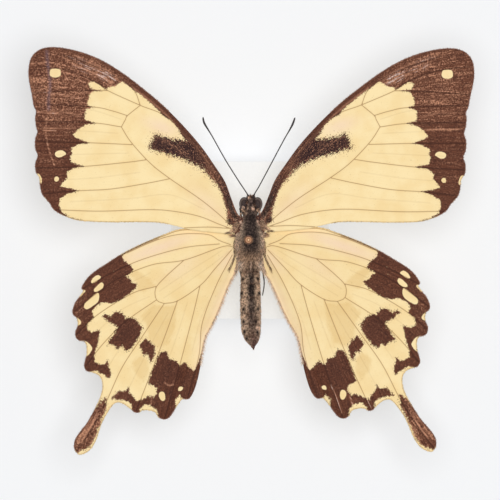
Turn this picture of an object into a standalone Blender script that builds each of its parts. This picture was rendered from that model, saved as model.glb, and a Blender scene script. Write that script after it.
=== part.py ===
# Mocker swallowtail, male: a pinned and set dry specimen on a small foam block, as a museum keeps it.
# Metres, +Z up, head towards +Y. The origin is on the underside of the block, below the body's long axis.
# Every list of points and every named size is in millimetres, and MM turns it into metres.

import math

import bmesh
import bpy
import numpy
from mathutils import Vector
from mathutils.geometry import delaunay_2d_cdt

MM = 0.001
GAP = 0.3

# Heights of the specimen on its pin
WING_HEIGHT = 25.7
WING_OVERLAP = 1.1

# Wing skin, and how the set wings rise and curve
MEMBRANE = 0.5
VEIN_THICKNESS = 0.8
VEIN_HALF_WIDTH = 0.42
ROOT_REACH = 3.0
DIHEDRAL = 0.055
TAIL_START = -20.0
TAIL_DROOP = 0.0016
INNER_FOLD = 0.9
INNER_FOLD_WIDTH = 2.2
INNER_EDGE_START = 2.0
INNER_EDGE_SLOPE = 0.43
INNER_FOLD_EASE = 4.0
EDGE_STEP = 1.7
TAIL_EDGE_STEP = 1.25
VEIN_STEP = 2.8
FIELD_STEP = 4.6
FIELD_ROW_STEP = 4.0
SCATTER_CLEARANCE = 1.7
NEAREST_POINTS = 0.42
FLANK_CLEARANCE = 0.38

# How the left pair sits against a mirror image of the right pair: it is moved, turned in degrees about
# the pivot and a little smaller, and the tail swings in
LEFT_FOREWING = {"pivot": (3.2, 3.0), "shift": (0.15, -0.42), "turn": 1.15, "scale": 0.998, "swing": (0.0, 0.0)}
LEFT_HINDWING = {"pivot": (3.2, -1.0), "shift": (0.14, 0.02), "turn": -2.0, "scale": 0.995, "swing": (-0.7, 0.3)}
SWING_START = -30.0
SWING_LENGTH = 12.0

# Pin and block
PIN_PLACE = (-0.3, 0.0)
PIN_LENGTH = 38.0
PIN_RADIUS = 0.25
PIN_HEAD_RADIUS = 0.9
PIN_HEAD_HEIGHT = 1.3
BLOCK_SIDE = 32.0
BLOCK_HEIGHT = 10.0
BLOCK_EDGE = 0.6
PIN_FOOT = 2.0
PIN_POINT = 1.5
PIN_HEAD_STEPS = 8

FOREWING_OUTLINE = [
    (1.0, 4.2), (2.2, 5.0), (2.9, 6.0), (4.4, 10.4), (7.0, 15.0), (11.7, 21.0), (18.0, 27.3), (24.0, 32.0),
    (30.0, 35.7), (35.0, 37.6), (39.0, 38.3), (41.6, 38.05), (43.5, 37.1), (44.6, 35.0), (44.7, 32.0),
    (44.0, 29.1), (43.7, 27.1), (43.05, 25.4), (43.25, 23.8), (42.75, 21.2), (43.25, 19.0), (42.6, 16.5),
    (43.0, 14.0), (42.1, 11.9), (41.9, 9.7), (40.3, 7.6), (39.2, 5.8), (36.8, 4.6), (33.5, 3.65), (28.0, 3.5),
    (20.0, 3.65), (16.0, 3.25), (12.0, 2.35), (7.0, 1.8), (3.5, 1.6), (1.0, 1.4),
]
FOREWING_VEINS = {
    "radius": [(3.2, 4.0), (5.0, 9.0), (8.2, 15.0), (12.9, 21.0), (17.5, 25.1), (22.3, 27.0), (28.8, 29.8),
               (34.0, 32.6), (39.5, 34.9)],
    "radial_branch": [(22.3, 27.0), (23.9, 30.2), (26.6, 32.4)],
    "radial_fork": [(28.8, 29.8), (32.0, 29.8), (38.0, 29.4), (43.2, 29.0)],
    "cell_end": [(22.3, 27.0), (25.2, 24.1), (26.0, 22.6)],
    "medial_1": [(24.9, 24.9), (32.0, 26.5), (42.9, 26.8)],
    "medial_2": [(26.0, 22.6), (31.8, 23.3), (42.4, 23.4)],
    "medial_3": [(23.9, 19.1), (33.0, 19.3), (42.4, 19.3)],
    "cubitus": [(3.6, 3.2), (6.0, 5.4), (10.0, 8.5), (14.0, 11.2), (20.0, 15.4), (24.0, 19.6), (26.0, 22.6)],
    "cubital_1": [(21.0, 16.1), (28.0, 15.1), (42.2, 14.05)],
    "cubital_2": [(16.2, 12.4), (23.0, 10.85), (31.0, 9.95), (40.9, 9.0)],
    "anal": [(3.6, 2.7), (8.0, 4.4), (15.0, 5.9), (25.0, 5.85), (38.2, 5.75)],
}
HINDWING_OUTLINE = [
    (1.0, -0.9), (3.0, 0.2), (5.0, 1.9), (9.0, 2.6), (14.0, 2.5), (20.0, 0.5), (25.0, -1.7), (30.0, -4.6),
    (33.0, -6.9), (34.0, -8.7), (33.75, -9.3), (35.0, -11.0), (35.95, -13.3), (35.1, -14.8), (35.0, -16.1),
    (35.6, -17.9), (34.6, -19.2), (33.4, -20.2), (33.5, -22.5), (34.0, -24.3), (32.6, -25.6), (30.9, -26.6),
    (30.5, -29.0), (32.1, -32.6), (34.9, -36.8), (37.0, -39.5), (37.0, -41.7), (35.9, -42.3), (33.9, -41.2),
    (32.3, -38.6), (30.8, -35.1), (28.9, -32.6), (27.2, -31.9), (25.1, -33.3), (24.0, -34.15), (22.6, -33.65),
    (20.5, -34.1), (19.4, -35.5), (17.9, -35.5), (16.4, -33.9), (14.9, -31.7), (13.4, -31.7), (12.1, -30.0),
    (11.2, -27.5), (10.6, -24.8), (9.9, -20.8), (7.5, -16.0), (4.8, -10.0), (3.1, -5.0), (2.4, -2.4), (1.0, -2.2),
]
HINDWING_VEINS = {
    "costal": [(3.8, -0.9), (6.0, 0.0), (9.0, 1.45), (14.0, 1.5), (20.0, 0.0), (24.2, -1.8)],
    "subcostal": [(6.0, -0.7), (13.0, -1.2), (21.0, -3.1), (27.0, -5.4), (33.2, -8.6)],
    "radial": [(3.4, -1.5), (5.5, -1.5), (13.2, -3.7), (20.0, -4.5), (27.7, -7.6), (35.2, -12.8)],
    "cell_end": [(13.2, -3.7), (17.0, -6.9), (19.2, -10.2), (17.5, -12.3)],
    "medial_1": [(19.1, -8.8), (24.0, -10.1), (31.0, -14.1), (34.9, -17.4)],
    "medial_2": [(19.0, -11.5), (25.2, -15.5), (30.0, -19.9), (33.3, -23.8)],
    "medial_3": [(17.5, -12.3), (22.3, -19.0), (26.5, -25.0), (30.4, -32.5), (34.5, -38.7), (36.4, -41.1)],
    "cubitus": [(3.6, -2.3), (7.0, -5.6), (10.0, -8.8), (14.7, -11.8), (17.5, -12.3)],
    "cubital_1": [(14.8, -11.8), (17.2, -17.9), (20.8, -26.5), (23.9, -33.2)],
    "cubital_2": [(10.2, -9.0), (12.0, -15.5), (15.2, -26.0), (18.4, -34.9)],
    "anal": [(3.5, -3.4), (7.0, -9.2), (10.0, -16.5), (11.4, -25.2), (13.5, -31.0)],
}

# Body parts turned about their length: distance along Y and half width there, front to back
HEAD_PROFILE = [(8.75, 0.0), (8.6, 0.6), (8.25, 1.0), (7.7, 1.25), (7.1, 1.35), (6.6, 1.3), (6.3, 1.1), (6.2, 0.8),
                (6.2, 0.0)]
PROTHORAX_PROFILE = [(5.9, 0.0), (5.9, 0.9), (5.75, 1.4), (5.5, 1.6), (5.3, 1.5), (5.3, 0.0)]
THORAX_PROFILE = [(5.0, 0.0), (5.0, 1.2), (4.7, 1.75), (4.0, 2.25), (3.0, 2.55), (1.6, 2.7), (0.2, 2.7),
                  (-1.2, 2.6), (-2.4, 2.4), (-3.4, 2.05), (-4.0, 1.7), (-4.2, 1.4), (-4.2, 0.0)]
HEAD_TALL = 1.15
PROTHORAX_TALL = 1.15
THORAX_TALL_AT = {-4.2: 1.0, -1.0: 1.12, 2.5: 1.22, 5.0: 1.12}
THORAX_HEIGHT_AT = {-4.2: 24.75, -1.0: 24.7, 2.5: 24.6, 5.0: 24.3}
ABDOMEN_TALL = 1.06

# Abdomen: where each segment starts along Y, then the tip, with its half width, sideways bend and droop
ABDOMEN_JOINTS = [-4.5, -6.3, -8.6, -11.4, -14.6, -16.9, -19.0, -21.7]
ABDOMEN_WIDTH_AT = {-21.7: 0.1, -21.2: 0.5, -20.6: 1.05, -20.0: 1.45, -19.0: 1.75, -18.0: 1.92, -15.0: 2.05,
                    -11.4: 2.05, -8.0: 1.9, -5.4: 1.75, -4.5: 1.5}
ABDOMEN_BEND_AT = {-21.7: 0.7, -21.0: 0.55, -20.0: 0.38, -18.0: 0.2, -12.0: 0.1, -4.5: 0.05}
ABDOMEN_HEIGHT_AT = {-21.7: 22.3, -17.0: 23.2, -11.0: 24.1, -4.5: 24.7}
SEGMENT_STEP = 0.1

# Head parts
HEAD_CENTRE_X = 0.15
HEAD_HEIGHT = 24.3
EYE_CENTRE = (1.15, 7.2)
EYE_RADII = (1.15, 1.4, 1.5)
ANTENNA_RIGHT = [(0.55, 8.1, 25.0), (0.9, 9.2, 25.5), (1.9, 10.9, 25.9), (4.1, 15.0, 26.3), (6.6, 19.7, 26.6),
                 (8.2, 22.5, 26.8), (8.7, 23.6, 26.9), (9.0, 24.5, 27.0)]
ANTENNA_LEFT = [(-0.25, 8.1, 25.0), (-0.5, 9.1, 25.5), (-2.2, 11.7, 25.9), (-4.9, 16.0, 26.3), (-7.6, 20.8, 26.6),
                (-9.0, 23.1, 26.8), (-9.3, 23.9, 26.9), (-9.4, 24.6, 27.0)]
ANTENNA_RADII = [0.25, 0.25, 0.25, 0.25, 0.26, 0.34, 0.4, 0.2]
PALP = [(0.42, 7.7, 23.0), (0.5, 8.6, 22.9), (0.5, 9.0, 23.6), (0.42, 9.1, 24.5)]
PALP_RADII = [0.3, 0.42, 0.38, 0.2]
PROBOSCIS_CENTRE = (7.75, 21.3)
PROBOSCIS_OUTER = 1.25
PROBOSCIS_INNER = 0.45
PROBOSCIS_TURNS = 1.25
PROBOSCIS_RADIUS = 0.25
PROBOSCIS_ROOT = (6.6, 23.3)
PROBOSCIS_START_ANGLE = 180.0
PROBOSCIS_STEPS = 20

# Legs of the right side, from the coxa inside the thorax to the claws, and the two that differ on the left
LEGS = {
    "foreleg": [(0.8, 3.9, 22.9), (1.0, 4.8, 21.9), (1.6, 5.9, 21.4), (1.95, 6.35, 20.95), (1.95, 5.9, 20.5),
                (1.5, 3.6, 20.2), (1.2, 1.2, 19.9), (0.9, -0.8, 19.7)],
    "midleg": [(1.2, 1.4, 22.6), (1.8, 2.0, 21.2), (2.9, 3.5, 20.6), (2.7, 0.2, 20.0), (2.3, -2.6, 19.7),
               (1.9, -4.8, 19.6)],
    "hindleg": [(1.1, -2.2, 22.6), (2.0, -1.9, 21.6), (2.9, -1.3, 21.3), (3.35, -1.5, 21.3), (3.3, -2.2, 21.4),
                (2.5, -5.0, 21.7), (2.85, -8.6, 22.1), (2.5, -11.2, 22.5)],
}
LEFT_HINDLEG = [(1.1, -2.2, 22.6), (2.0, -1.9, 21.5), (2.9, -1.3, 21.0), (3.35, -1.5, 20.85), (3.3, -2.2, 20.8),
                (2.6, -4.8, 20.8), (1.7, -8.2, 20.6), (0.9, -10.6, 20.4)]
LEG_SHARES = [0.0, 0.2, 0.4, 0.6, 0.8, 1.0]
LEG_RADII = [0.45, 0.4, 0.32, 0.3, 0.26, 0.25]

BODY_SIDES = 16
EYE_SEGMENTS = 20
EYE_RINGS = 14
LIMB_PIECES = 3
LIMB_WELD = 0.01
CUT_WELD = 0.03
AXIS_MERGE = 0.05


def clear_scene():
    for thing in list(bpy.data.objects):
        bpy.data.objects.remove(thing, do_unlink=True)


def new_collection(name):
    collection = bpy.data.collections.new(name)
    bpy.context.scene.collection.children.link(collection)
    return collection


def material(name, colour, roughness, metallic=0.0):
    made = bpy.data.materials.new(name)
    made.use_nodes = True
    shader = made.node_tree.nodes["Principled BSDF"]
    shader.inputs["Base Color"].default_value = (*colour, 1.0)
    shader.inputs["Roughness"].default_value = roughness
    shader.inputs["Metallic"].default_value = metallic
    return made


def add_object(name, mesh, collection, finish=None):
    made = bpy.data.objects.new(name, mesh)
    collection.objects.link(made)
    if finish:
        mesh.materials.clear()
        mesh.materials.append(finish)
    return made


def settle(thing):
    """Turns an object with its modifiers into a plain mesh of its own."""
    graph = bpy.context.evaluated_depsgraph_get()
    mesh = bpy.data.meshes.new_from_object(thing.evaluated_get(graph))
    thing.modifiers.clear()
    thing.data = mesh
    return thing


def keep_largest(mesh):
    """Keeps only the closed surface with the most volume."""
    work = bmesh.new()
    work.from_mesh(mesh)
    unseen = set(work.faces)
    shells = []
    while unseen:
        shell = set()
        front = [unseen.pop()]
        while front:
            face = front.pop()
            shell.add(face)
            for edge in face.edges:
                for other in edge.link_faces:
                    if other in unseen:
                        unseen.discard(other)
                        front.append(other)
        shells.append(shell)
    if len(shells) > 1:
        def volume(shell):
            return sum(face.calc_center_median().dot(face.normal) * face.calc_area() for face in shell)
        largest = max(shells, key=volume)
        loose = [face for shell in shells if shell is not largest for face in shell]
        bmesh.ops.delete(work, geom=loose, context="FACES")
    work.to_mesh(mesh)
    work.free()


def combine(thing, other, operation):
    """Cuts or joins an object by another one and applies it."""
    boolean = thing.modifiers.new(operation.lower(), "BOOLEAN")
    boolean.operation = operation
    boolean.solver = "EXACT"
    boolean.object = other
    settle(thing)
    keep_largest(thing.data)


def cut_limb(limb, cutters):
    """Trims a thin limb clear of its neighbours and closes the slivers that a slanting cut leaves."""
    for cutter in cutters:
        combine(limb, cutter, "DIFFERENCE")
    work = bmesh.new()
    work.from_mesh(limb.data)
    bmesh.ops.remove_doubles(work, verts=work.verts, dist=CUT_WELD * MM)
    work.to_mesh(limb.data)
    work.free()


def grown(thing, amount, collection):
    """A cutter in the shape of an object, larger by an even amount all round."""
    mesh = thing.data.copy()
    work = bmesh.new()
    work.from_mesh(mesh)
    bmesh.ops.recalc_face_normals(work, faces=work.faces)
    normals = [vertex.normal.copy() for vertex in work.verts]
    for vertex, normal in zip(work.verts, normals):
        vertex.co += normal * amount * MM
    work.to_mesh(mesh)
    work.free()
    cutter = add_object(thing.name + "_clearance", mesh, collection)
    cutter.hide_render = True
    cutter.display_type = "WIRE"
    return cutter


def curve_point(before, start, end, after, t):
    """A point between start and end on the smooth curve that passes through all four."""
    return 0.5 * (2.0 * start + (end - before) * t
                  + (2.0 * before - 5.0 * start + 4.0 * end - after) * t ** 2
                  + (3.0 * start - before - 3.0 * end + after) * t ** 3)


def smooth_path(points, step, closed=False):
    """Points about one step apart on a smooth curve through the given ones."""
    given = [numpy.array(point, float) for point in points]
    count = len(given)
    spans = count if closed else count - 1
    path = []
    for index in range(spans):
        if closed:
            before, start, end, after = (given[(index + offset) % count] for offset in (-1, 0, 1, 2))
        else:
            start, end = given[index], given[index + 1]
            before = given[index - 1] if index else 2.0 * start - end
            after = given[index + 2] if index + 2 < count else 2.0 * end - start
        pieces = max(1, round(float(numpy.linalg.norm(end - start)) / step))
        for piece in range(pieces):
            path.append(curve_point(before, start, end, after, piece / pieces))
    if not closed:
        path.append(given[-1])
    return path


def nearest_distance(point, path):
    """Distance from a point to a chain of straight pieces."""
    chain = numpy.array(path)
    start, along = chain[:-1], chain[1:] - chain[:-1]
    reach = numpy.clip(((point - start) * along).sum(1) / (along ** 2).sum(1), 0.0, 1.0)
    return float(numpy.linalg.norm(start + along * reach[:, None] - point, axis=1).min())


def is_inside(point, outline):
    """Whether a point lies inside a closed outline."""
    inside = False
    for start, end in zip(outline, outline[1:] + outline[:1]):
        if (start[1] > point[1]) != (end[1] > point[1]):
            crossing = start[0] + (end[0] - start[0]) * (point[1] - start[1]) / (end[1] - start[1])
            if point[0] < crossing:
                inside = not inside
    return inside


def wing_height(x, y, level):
    """Height of a wing's middle surface: it rises outwards, and the tail and the inner edge bend down."""
    rise = DIHEDRAL * (x - ROOT_REACH)
    droop = TAIL_DROOP * max(0.0, TAIL_START - y) ** 2
    behind = max(0.0, -y - INNER_EDGE_START)
    from_edge = max(0.0, x - INNER_EDGE_START - INNER_EDGE_SLOPE * behind)
    fold = INNER_FOLD * math.exp(-from_edge / INNER_FOLD_WIDTH) * min(1.0, behind / INNER_FOLD_EASE)
    return WING_HEIGHT + level + rise - droop - fold


def left_place(point, seat):
    """Where a point of the right wing comes on the mirror image of the left one."""
    turn = math.radians(seat["turn"])
    x = (point[0] - seat["pivot"][0] + seat["shift"][0]) * seat["scale"]
    y = (point[1] - seat["pivot"][1] + seat["shift"][1]) * seat["scale"]
    swing = max(0.0, SWING_START - point[1]) / SWING_LENGTH
    return (seat["pivot"][0] + x * math.cos(turn) - y * math.sin(turn) + seat["swing"][0] * swing,
            seat["pivot"][1] + x * math.sin(turn) + y * math.cos(turn) + seat["swing"][1] * swing)


def wing_points(outline, veins, edge_step):
    """The outline, the veins with a flank on either side, and a loose field of points between them."""
    edge = smooth_path(outline, edge_step, closed=True)
    points = list(edge)
    lifted = [False] * len(edge)
    links = []
    lines = [smooth_path(vein, VEIN_STEP) for vein in veins.values()]

    def free(point, clearance):
        taken = numpy.array(points)
        return float(numpy.linalg.norm(taken - point, axis=1).min()) > clearance

    for line in lines:
        last = None
        for point in line:
            gaps = numpy.linalg.norm(numpy.array(points) - point, axis=1)
            if gaps.min() < NEAREST_POINTS:
                here = int(gaps.argmin())
            else:
                here = len(points)
                points.append(point)
                lifted.append(True)
            if last is not None and last != here:
                links.append((last, here))
            last = here
    for number, line in enumerate(lines):
        others = [other for index, other in enumerate(lines) if index != number]
        for index in range(1, len(line) - 1):
            along = line[index + 1] - line[index - 1]
            across = numpy.array([-along[1], along[0]]) / numpy.linalg.norm(along)
            for side in (-1.0, 1.0):
                flank = line[index] + across * side * VEIN_HALF_WIDTH
                clear = all(nearest_distance(flank, other) > VEIN_HALF_WIDTH for other in others)
                if clear and free(flank, FLANK_CLEARANCE):
                    points.append(flank)
                    lifted.append(False)
    low, high = numpy.min(edge, axis=0), numpy.max(edge, axis=0)
    rows = int((high[1] - low[1]) / FIELD_ROW_STEP) + 1
    columns = int((high[0] - low[0]) / FIELD_STEP) + 1
    for row in range(rows):
        for column in range(columns):
            point = low + numpy.array([(column + 0.5 * (row % 2)) * FIELD_STEP, row * FIELD_ROW_STEP])
            if is_inside(point, edge) and free(point, SCATTER_CLEARANCE):
                points.append(point)
                lifted.append(False)
    return points, lifted, links, len(edge)


def make_wing(name, side, outline, veins, seat, level, edge_step, finish, collection):
    if side < 0.0:
        outline = [left_place(point, seat) for point in outline]
        veins = {vein: [left_place(point, seat) for point in line] for vein, line in veins.items()}
    points, lifted, links, edge_count = wing_points(outline, veins, edge_step)
    flat = [Vector((float(point[0]), float(point[1]))) for point in points]
    corners, _, faces, sources, _, _ = delaunay_2d_cdt(flat, links, [list(range(edge_count))], 1, 1e-4)
    work = bmesh.new()
    ring = [work.verts.new((side * x * MM, y * MM, wing_height(x, y, level) * MM)) for x, y in corners]
    for face in faces:
        turned = face if side > 0.0 else reversed(face)
        work.faces.new([ring[index] for index in turned])
    mesh = bpy.data.meshes.new(name)
    work.to_mesh(mesh)
    work.free()
    wing = add_object(name, mesh, collection, finish)
    ridges = wing.vertex_groups.new(name="veins")
    raised = [index for index, source in enumerate(sources) if any(lifted[old] for old in source)]
    ridges.add(raised, 1.0, "REPLACE")
    skin = wing.modifiers.new("skin", "SOLIDIFY")
    skin.thickness = VEIN_THICKNESS * MM
    skin.offset = 0.0
    skin.vertex_group = ridges.name
    skin.thickness_vertex_group = MEMBRANE / VEIN_THICKNESS
    settle(wing)
    wing.vertex_groups.clear()
    return wing


def turned_body(name, profile, place, collection, finish):
    """A part turned about the body's length, then made oval and bent: place gives centre x, centre z and tallness."""
    mesh = bpy.data.meshes.new(name)
    rows = [(radius * MM, 0.0, along * MM) for along, radius in profile]
    mesh.from_pydata(rows, [(index, index + 1) for index in range(len(rows) - 1)], [])
    body = add_object(name, mesh, collection, finish)
    screw = body.modifiers.new("turn", "SCREW")
    screw.axis = "Z"
    screw.steps = BODY_SIDES
    screw.render_steps = BODY_SIDES
    screw.use_merge_vertices = True
    screw.merge_threshold = AXIS_MERGE * MM
    settle(body)
    for vertex in body.data.vertices:
        x, across, along = vertex.co / MM
        centre_x, centre_z, tall = place(along)
        vertex.co = Vector((centre_x + x, along, centre_z - across * tall)) * MM
    body.data.update()
    body.data.shade_smooth()
    body.data.materials.clear()
    body.data.materials.append(finish)
    return body


def abdomen_profile():
    """Each segment starts a step below the one before it, swells and carries on to the next joint."""
    stations = sorted(ABDOMEN_WIDTH_AT)
    widths = [ABDOMEN_WIDTH_AT[station] for station in stations]
    profile = [(ABDOMEN_JOINTS[0], 0.0)]
    for start, end in zip(ABDOMEN_JOINTS, ABDOMEN_JOINTS[1:]):
        length = end - start
        shares = (0.0, 0.3, 0.94) if end > ABDOMEN_JOINTS[-1] else (0.0, 0.25, 0.5, 0.75, 0.92)
        for share in shares:
            along = start + length * share
            width = float(numpy.interp(along, stations, widths))
            profile.append((along, width - (SEGMENT_STEP if share == 0.0 else 0.0)))
    profile.append((ABDOMEN_JOINTS[-1], 0.0))
    return profile


def looked_up(table, along):
    stations = sorted(table)
    return float(numpy.interp(along, stations, [table[station] for station in stations]))


def limb(name, points, radii, finish, collection):
    """A tapering tube along a smooth curve, as one closed mesh."""
    path = eased(points, LIMB_PIECES)
    thickness = eased([(radius,) for radius in radii], LIMB_PIECES)
    curve = bpy.data.curves.new(name, "CURVE")
    curve.dimensions = "3D"
    curve.bevel_depth = MM
    curve.bevel_resolution = 1
    curve.use_fill_caps = True
    spline = curve.splines.new("POLY")
    spline.points.add(len(path) - 1)
    for point, place, radius in zip(spline.points, path, thickness):
        point.co = (*(Vector(place) * MM), 1.0)
        point.radius = float(radius[0])
    tube = bpy.data.objects.new(name + "_curve", curve)
    collection.objects.link(tube)
    graph = bpy.context.evaluated_depsgraph_get()
    mesh = bpy.data.meshes.new_from_object(tube.evaluated_get(graph))
    bpy.data.objects.remove(tube, do_unlink=True)
    work = bmesh.new()
    work.from_mesh(mesh)
    bmesh.ops.remove_doubles(work, verts=work.verts, dist=LIMB_WELD * MM)
    bmesh.ops.recalc_face_normals(work, faces=work.faces)
    work.to_mesh(mesh)
    work.free()
    mesh.name = name
    mesh.shade_smooth()
    return add_object(name, mesh, collection, finish)


def eased(points, pieces):
    """The given points with others between them on a smooth curve, the same number in each span."""
    path = []
    given = [numpy.array(point, float) for point in points]
    for index in range(len(given) - 1):
        span = given[max(0, index - 1):index + 3]
        if index == 0:
            span = [2.0 * given[0] - given[1], *span]
        if len(span) < 4:
            span = [*span, 2.0 * given[-1] - given[-2]]
        for piece in range(pieces):
            path.append(curve_point(*span, piece / pieces))
    path.append(given[-1])
    return path


def make_eye(name, side, finish, collection):
    bpy.ops.mesh.primitive_uv_sphere_add(segments=EYE_SEGMENTS, ring_count=EYE_RINGS, radius=1.0)
    eye = bpy.context.active_object
    eye.name = eye.data.name = name
    for vertex in eye.data.vertices:
        x, y, z = vertex.co
        vertex.co = Vector((HEAD_CENTRE_X + side * EYE_CENTRE[0] + z * EYE_RADII[0],
                            EYE_CENTRE[1] + x * EYE_RADII[1],
                            HEAD_HEIGHT + y * EYE_RADII[2])) * MM
    eye.data.update()
    eye.data.shade_smooth()
    for holder in list(eye.users_collection):
        holder.objects.unlink(eye)
    collection.objects.link(eye)
    eye.data.materials.append(finish)
    return eye


def proboscis_path():
    """The sucking tube: it comes down behind the face and winds forwards and inwards into a coil."""
    path = [(HEAD_CENTRE_X, *PROBOSCIS_ROOT)]
    for index in range(PROBOSCIS_STEPS + 1):
        share = index / PROBOSCIS_STEPS
        radius = PROBOSCIS_OUTER + (PROBOSCIS_INNER - PROBOSCIS_OUTER) * share
        angle = math.radians(PROBOSCIS_START_ANGLE) + share * PROBOSCIS_TURNS * 2.0 * math.pi
        path.append((HEAD_CENTRE_X, PROBOSCIS_CENTRE[0] + radius * math.cos(angle),
                     PROBOSCIS_CENTRE[1] + radius * math.sin(angle)))
    return path


def make_pin(finish, collection):
    """A straight pin with a rounded head and a point, turned in one piece."""
    top = PIN_FOOT + PIN_LENGTH
    profile = [(0.0, top)]
    for index in range(1, PIN_HEAD_STEPS):
        angle = math.pi * index / PIN_HEAD_STEPS
        profile.append((PIN_HEAD_RADIUS * math.sin(angle),
                        top - PIN_HEAD_HEIGHT * 0.5 * (1.0 - math.cos(angle))))
    profile[-1] = (PIN_RADIUS, top - PIN_HEAD_HEIGHT)
    profile += [(PIN_RADIUS, PIN_FOOT + PIN_POINT), (0.0, PIN_FOOT)]
    mesh = bpy.data.meshes.new("insect_pin")
    mesh.from_pydata([(radius * MM, 0.0, height * MM) for radius, height in profile],
                     [(index, index + 1) for index in range(len(profile) - 1)], [])
    pin = add_object("insect_pin", mesh, collection, finish)
    screw = pin.modifiers.new("turn", "SCREW")
    screw.axis = "Z"
    screw.steps = BODY_SIDES
    screw.render_steps = BODY_SIDES
    screw.use_merge_vertices = True
    screw.merge_threshold = AXIS_MERGE * MM
    settle(pin)
    for vertex in pin.data.vertices:
        vertex.co += Vector((*PIN_PLACE, 0.0)) * MM
    pin.data.update()
    pin.data.shade_smooth()
    return pin


def make_pin_bore(collection):
    """The cutter for the hole that the pin stands in, from the block's depth to above the thorax."""
    low, high = PIN_FOOT - GAP, PIN_FOOT + PIN_LENGTH
    bpy.ops.mesh.primitive_cylinder_add(
        vertices=BODY_SIDES, radius=(PIN_RADIUS + GAP) * MM, depth=(high - low) * MM,
        location=(PIN_PLACE[0] * MM, PIN_PLACE[1] * MM, (low + high) / 2.0 * MM))
    bore = bpy.context.active_object
    bore.name = "pin_bore"
    bore.hide_render = True
    bore.display_type = "WIRE"
    for holder in list(bore.users_collection):
        holder.objects.unlink(bore)
    collection.objects.link(bore)
    return bore


def make_block(finish, collection, bore):
    bpy.ops.mesh.primitive_cube_add(size=1.0)
    block = bpy.context.active_object
    block.name = block.data.name = "stand_base"
    for vertex in block.data.vertices:
        vertex.co = Vector((vertex.co.x * BLOCK_SIDE, vertex.co.y * BLOCK_SIDE,
                            (vertex.co.z + 0.5) * BLOCK_HEIGHT)) * MM
    for holder in list(block.users_collection):
        holder.objects.unlink(block)
    collection.objects.link(block)
    block.data.materials.append(finish)
    edge = block.modifiers.new("edge", "BEVEL")
    edge.width = BLOCK_EDGE * MM
    edge.segments = 2
    hole = block.modifiers.new("hole", "BOOLEAN")
    hole.operation = "DIFFERENCE"
    hole.object = bore
    settle(block)
    return block


def main():
    clear_scene()
    parts = new_collection("mocker_swallowtail")
    cutters = new_collection("cutters")
    cream = material("wing_cream", (0.82, 0.68, 0.38), 0.75)
    brown = material("body_brown", (0.17, 0.11, 0.08), 0.85)
    tan = material("abdomen_tan", (0.42, 0.3, 0.2), 0.8)
    eye_finish = material("eye_brown", (0.07, 0.05, 0.045), 0.35)
    black = material("limb_black", (0.03, 0.025, 0.02), 0.5)
    copper = material("pin_copper", (0.78, 0.5, 0.34), 0.3, 1.0)
    foam = material("foam_white", (0.93, 0.93, 0.92), 0.9)

    head = turned_body("head", HEAD_PROFILE, lambda y: (HEAD_CENTRE_X, HEAD_HEIGHT, HEAD_TALL), parts, brown)
    prothorax = turned_body("prothorax", PROTHORAX_PROFILE, lambda y: (0.1, HEAD_HEIGHT, PROTHORAX_TALL),
                            parts, brown)
    thorax = turned_body("thorax", THORAX_PROFILE,
                         lambda y: (0.0, looked_up(THORAX_HEIGHT_AT, y), looked_up(THORAX_TALL_AT, y)), parts, brown)
    abdomen = turned_body("abdomen", abdomen_profile(),
                          lambda y: (looked_up(ABDOMEN_BEND_AT, y), looked_up(ABDOMEN_HEIGHT_AT, y), ABDOMEN_TALL),
                          parts, tan)
    clearances = {thing.name: grown(thing, GAP, cutters) for thing in (head, prothorax, thorax, abdomen)}

    for side, sign in (("left", -1.0), ("right", 1.0)):
        eye = make_eye("eye_" + side, sign, eye_finish, parts)
        combine(eye, clearances["head"], "DIFFERENCE")
        combine(eye, clearances["prothorax"], "DIFFERENCE")
        clearances["eye_" + side] = grown(eye, GAP, cutters)
        palp = limb("palp_" + side, [(HEAD_CENTRE_X + sign * x, y, z) for x, y, z in PALP], PALP_RADII, brown, parts)
        cut_limb(palp, [clearances["head"], clearances["eye_" + side]])
        line = ANTENNA_LEFT if sign < 0.0 else ANTENNA_RIGHT
        antenna = limb("antenna_" + side, line, ANTENNA_RADII, black, parts)
        cut_limb(antenna, [clearances["head"], clearances["eye_" + side]])
        forewing = make_wing("forewing_" + side, sign, FOREWING_OUTLINE, FOREWING_VEINS, LEFT_FOREWING,
                             WING_OVERLAP / 2.0, EDGE_STEP, cream, parts)
        hindwing = make_wing("hindwing_" + side, sign, HINDWING_OUTLINE, HINDWING_VEINS, LEFT_HINDWING,
                             -WING_OVERLAP / 2.0, TAIL_EDGE_STEP, cream, parts)
        for wing in (forewing, hindwing):
            combine(wing, clearances["thorax"], "DIFFERENCE")
        for kind, points in LEGS.items():
            if kind == "hindleg" and sign < 0.0:
                points = LEFT_HINDLEG
            radii = numpy.interp(numpy.linspace(0.0, 1.0, len(points)), LEG_SHARES, LEG_RADII)
            leg = limb(kind + "_" + side, [(sign * x, y, z) for x, y, z in points], radii, black, parts)
            cut_limb(leg, [clearances["thorax"]])
    coil = proboscis_path()
    proboscis = limb("proboscis", coil, [PROBOSCIS_RADIUS] * len(coil), black, parts)
    cut_limb(proboscis, [clearances["head"]])

    make_pin(copper, parts)
    bore = make_pin_bore(cutters)
    combine(thorax, bore, "DIFFERENCE")
    make_block(foam, parts, bore)


main()
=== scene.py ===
import math

import bpy
import numpy as np
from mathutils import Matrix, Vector
from mathutils.geometry import delaunay_2d_cdt


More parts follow.
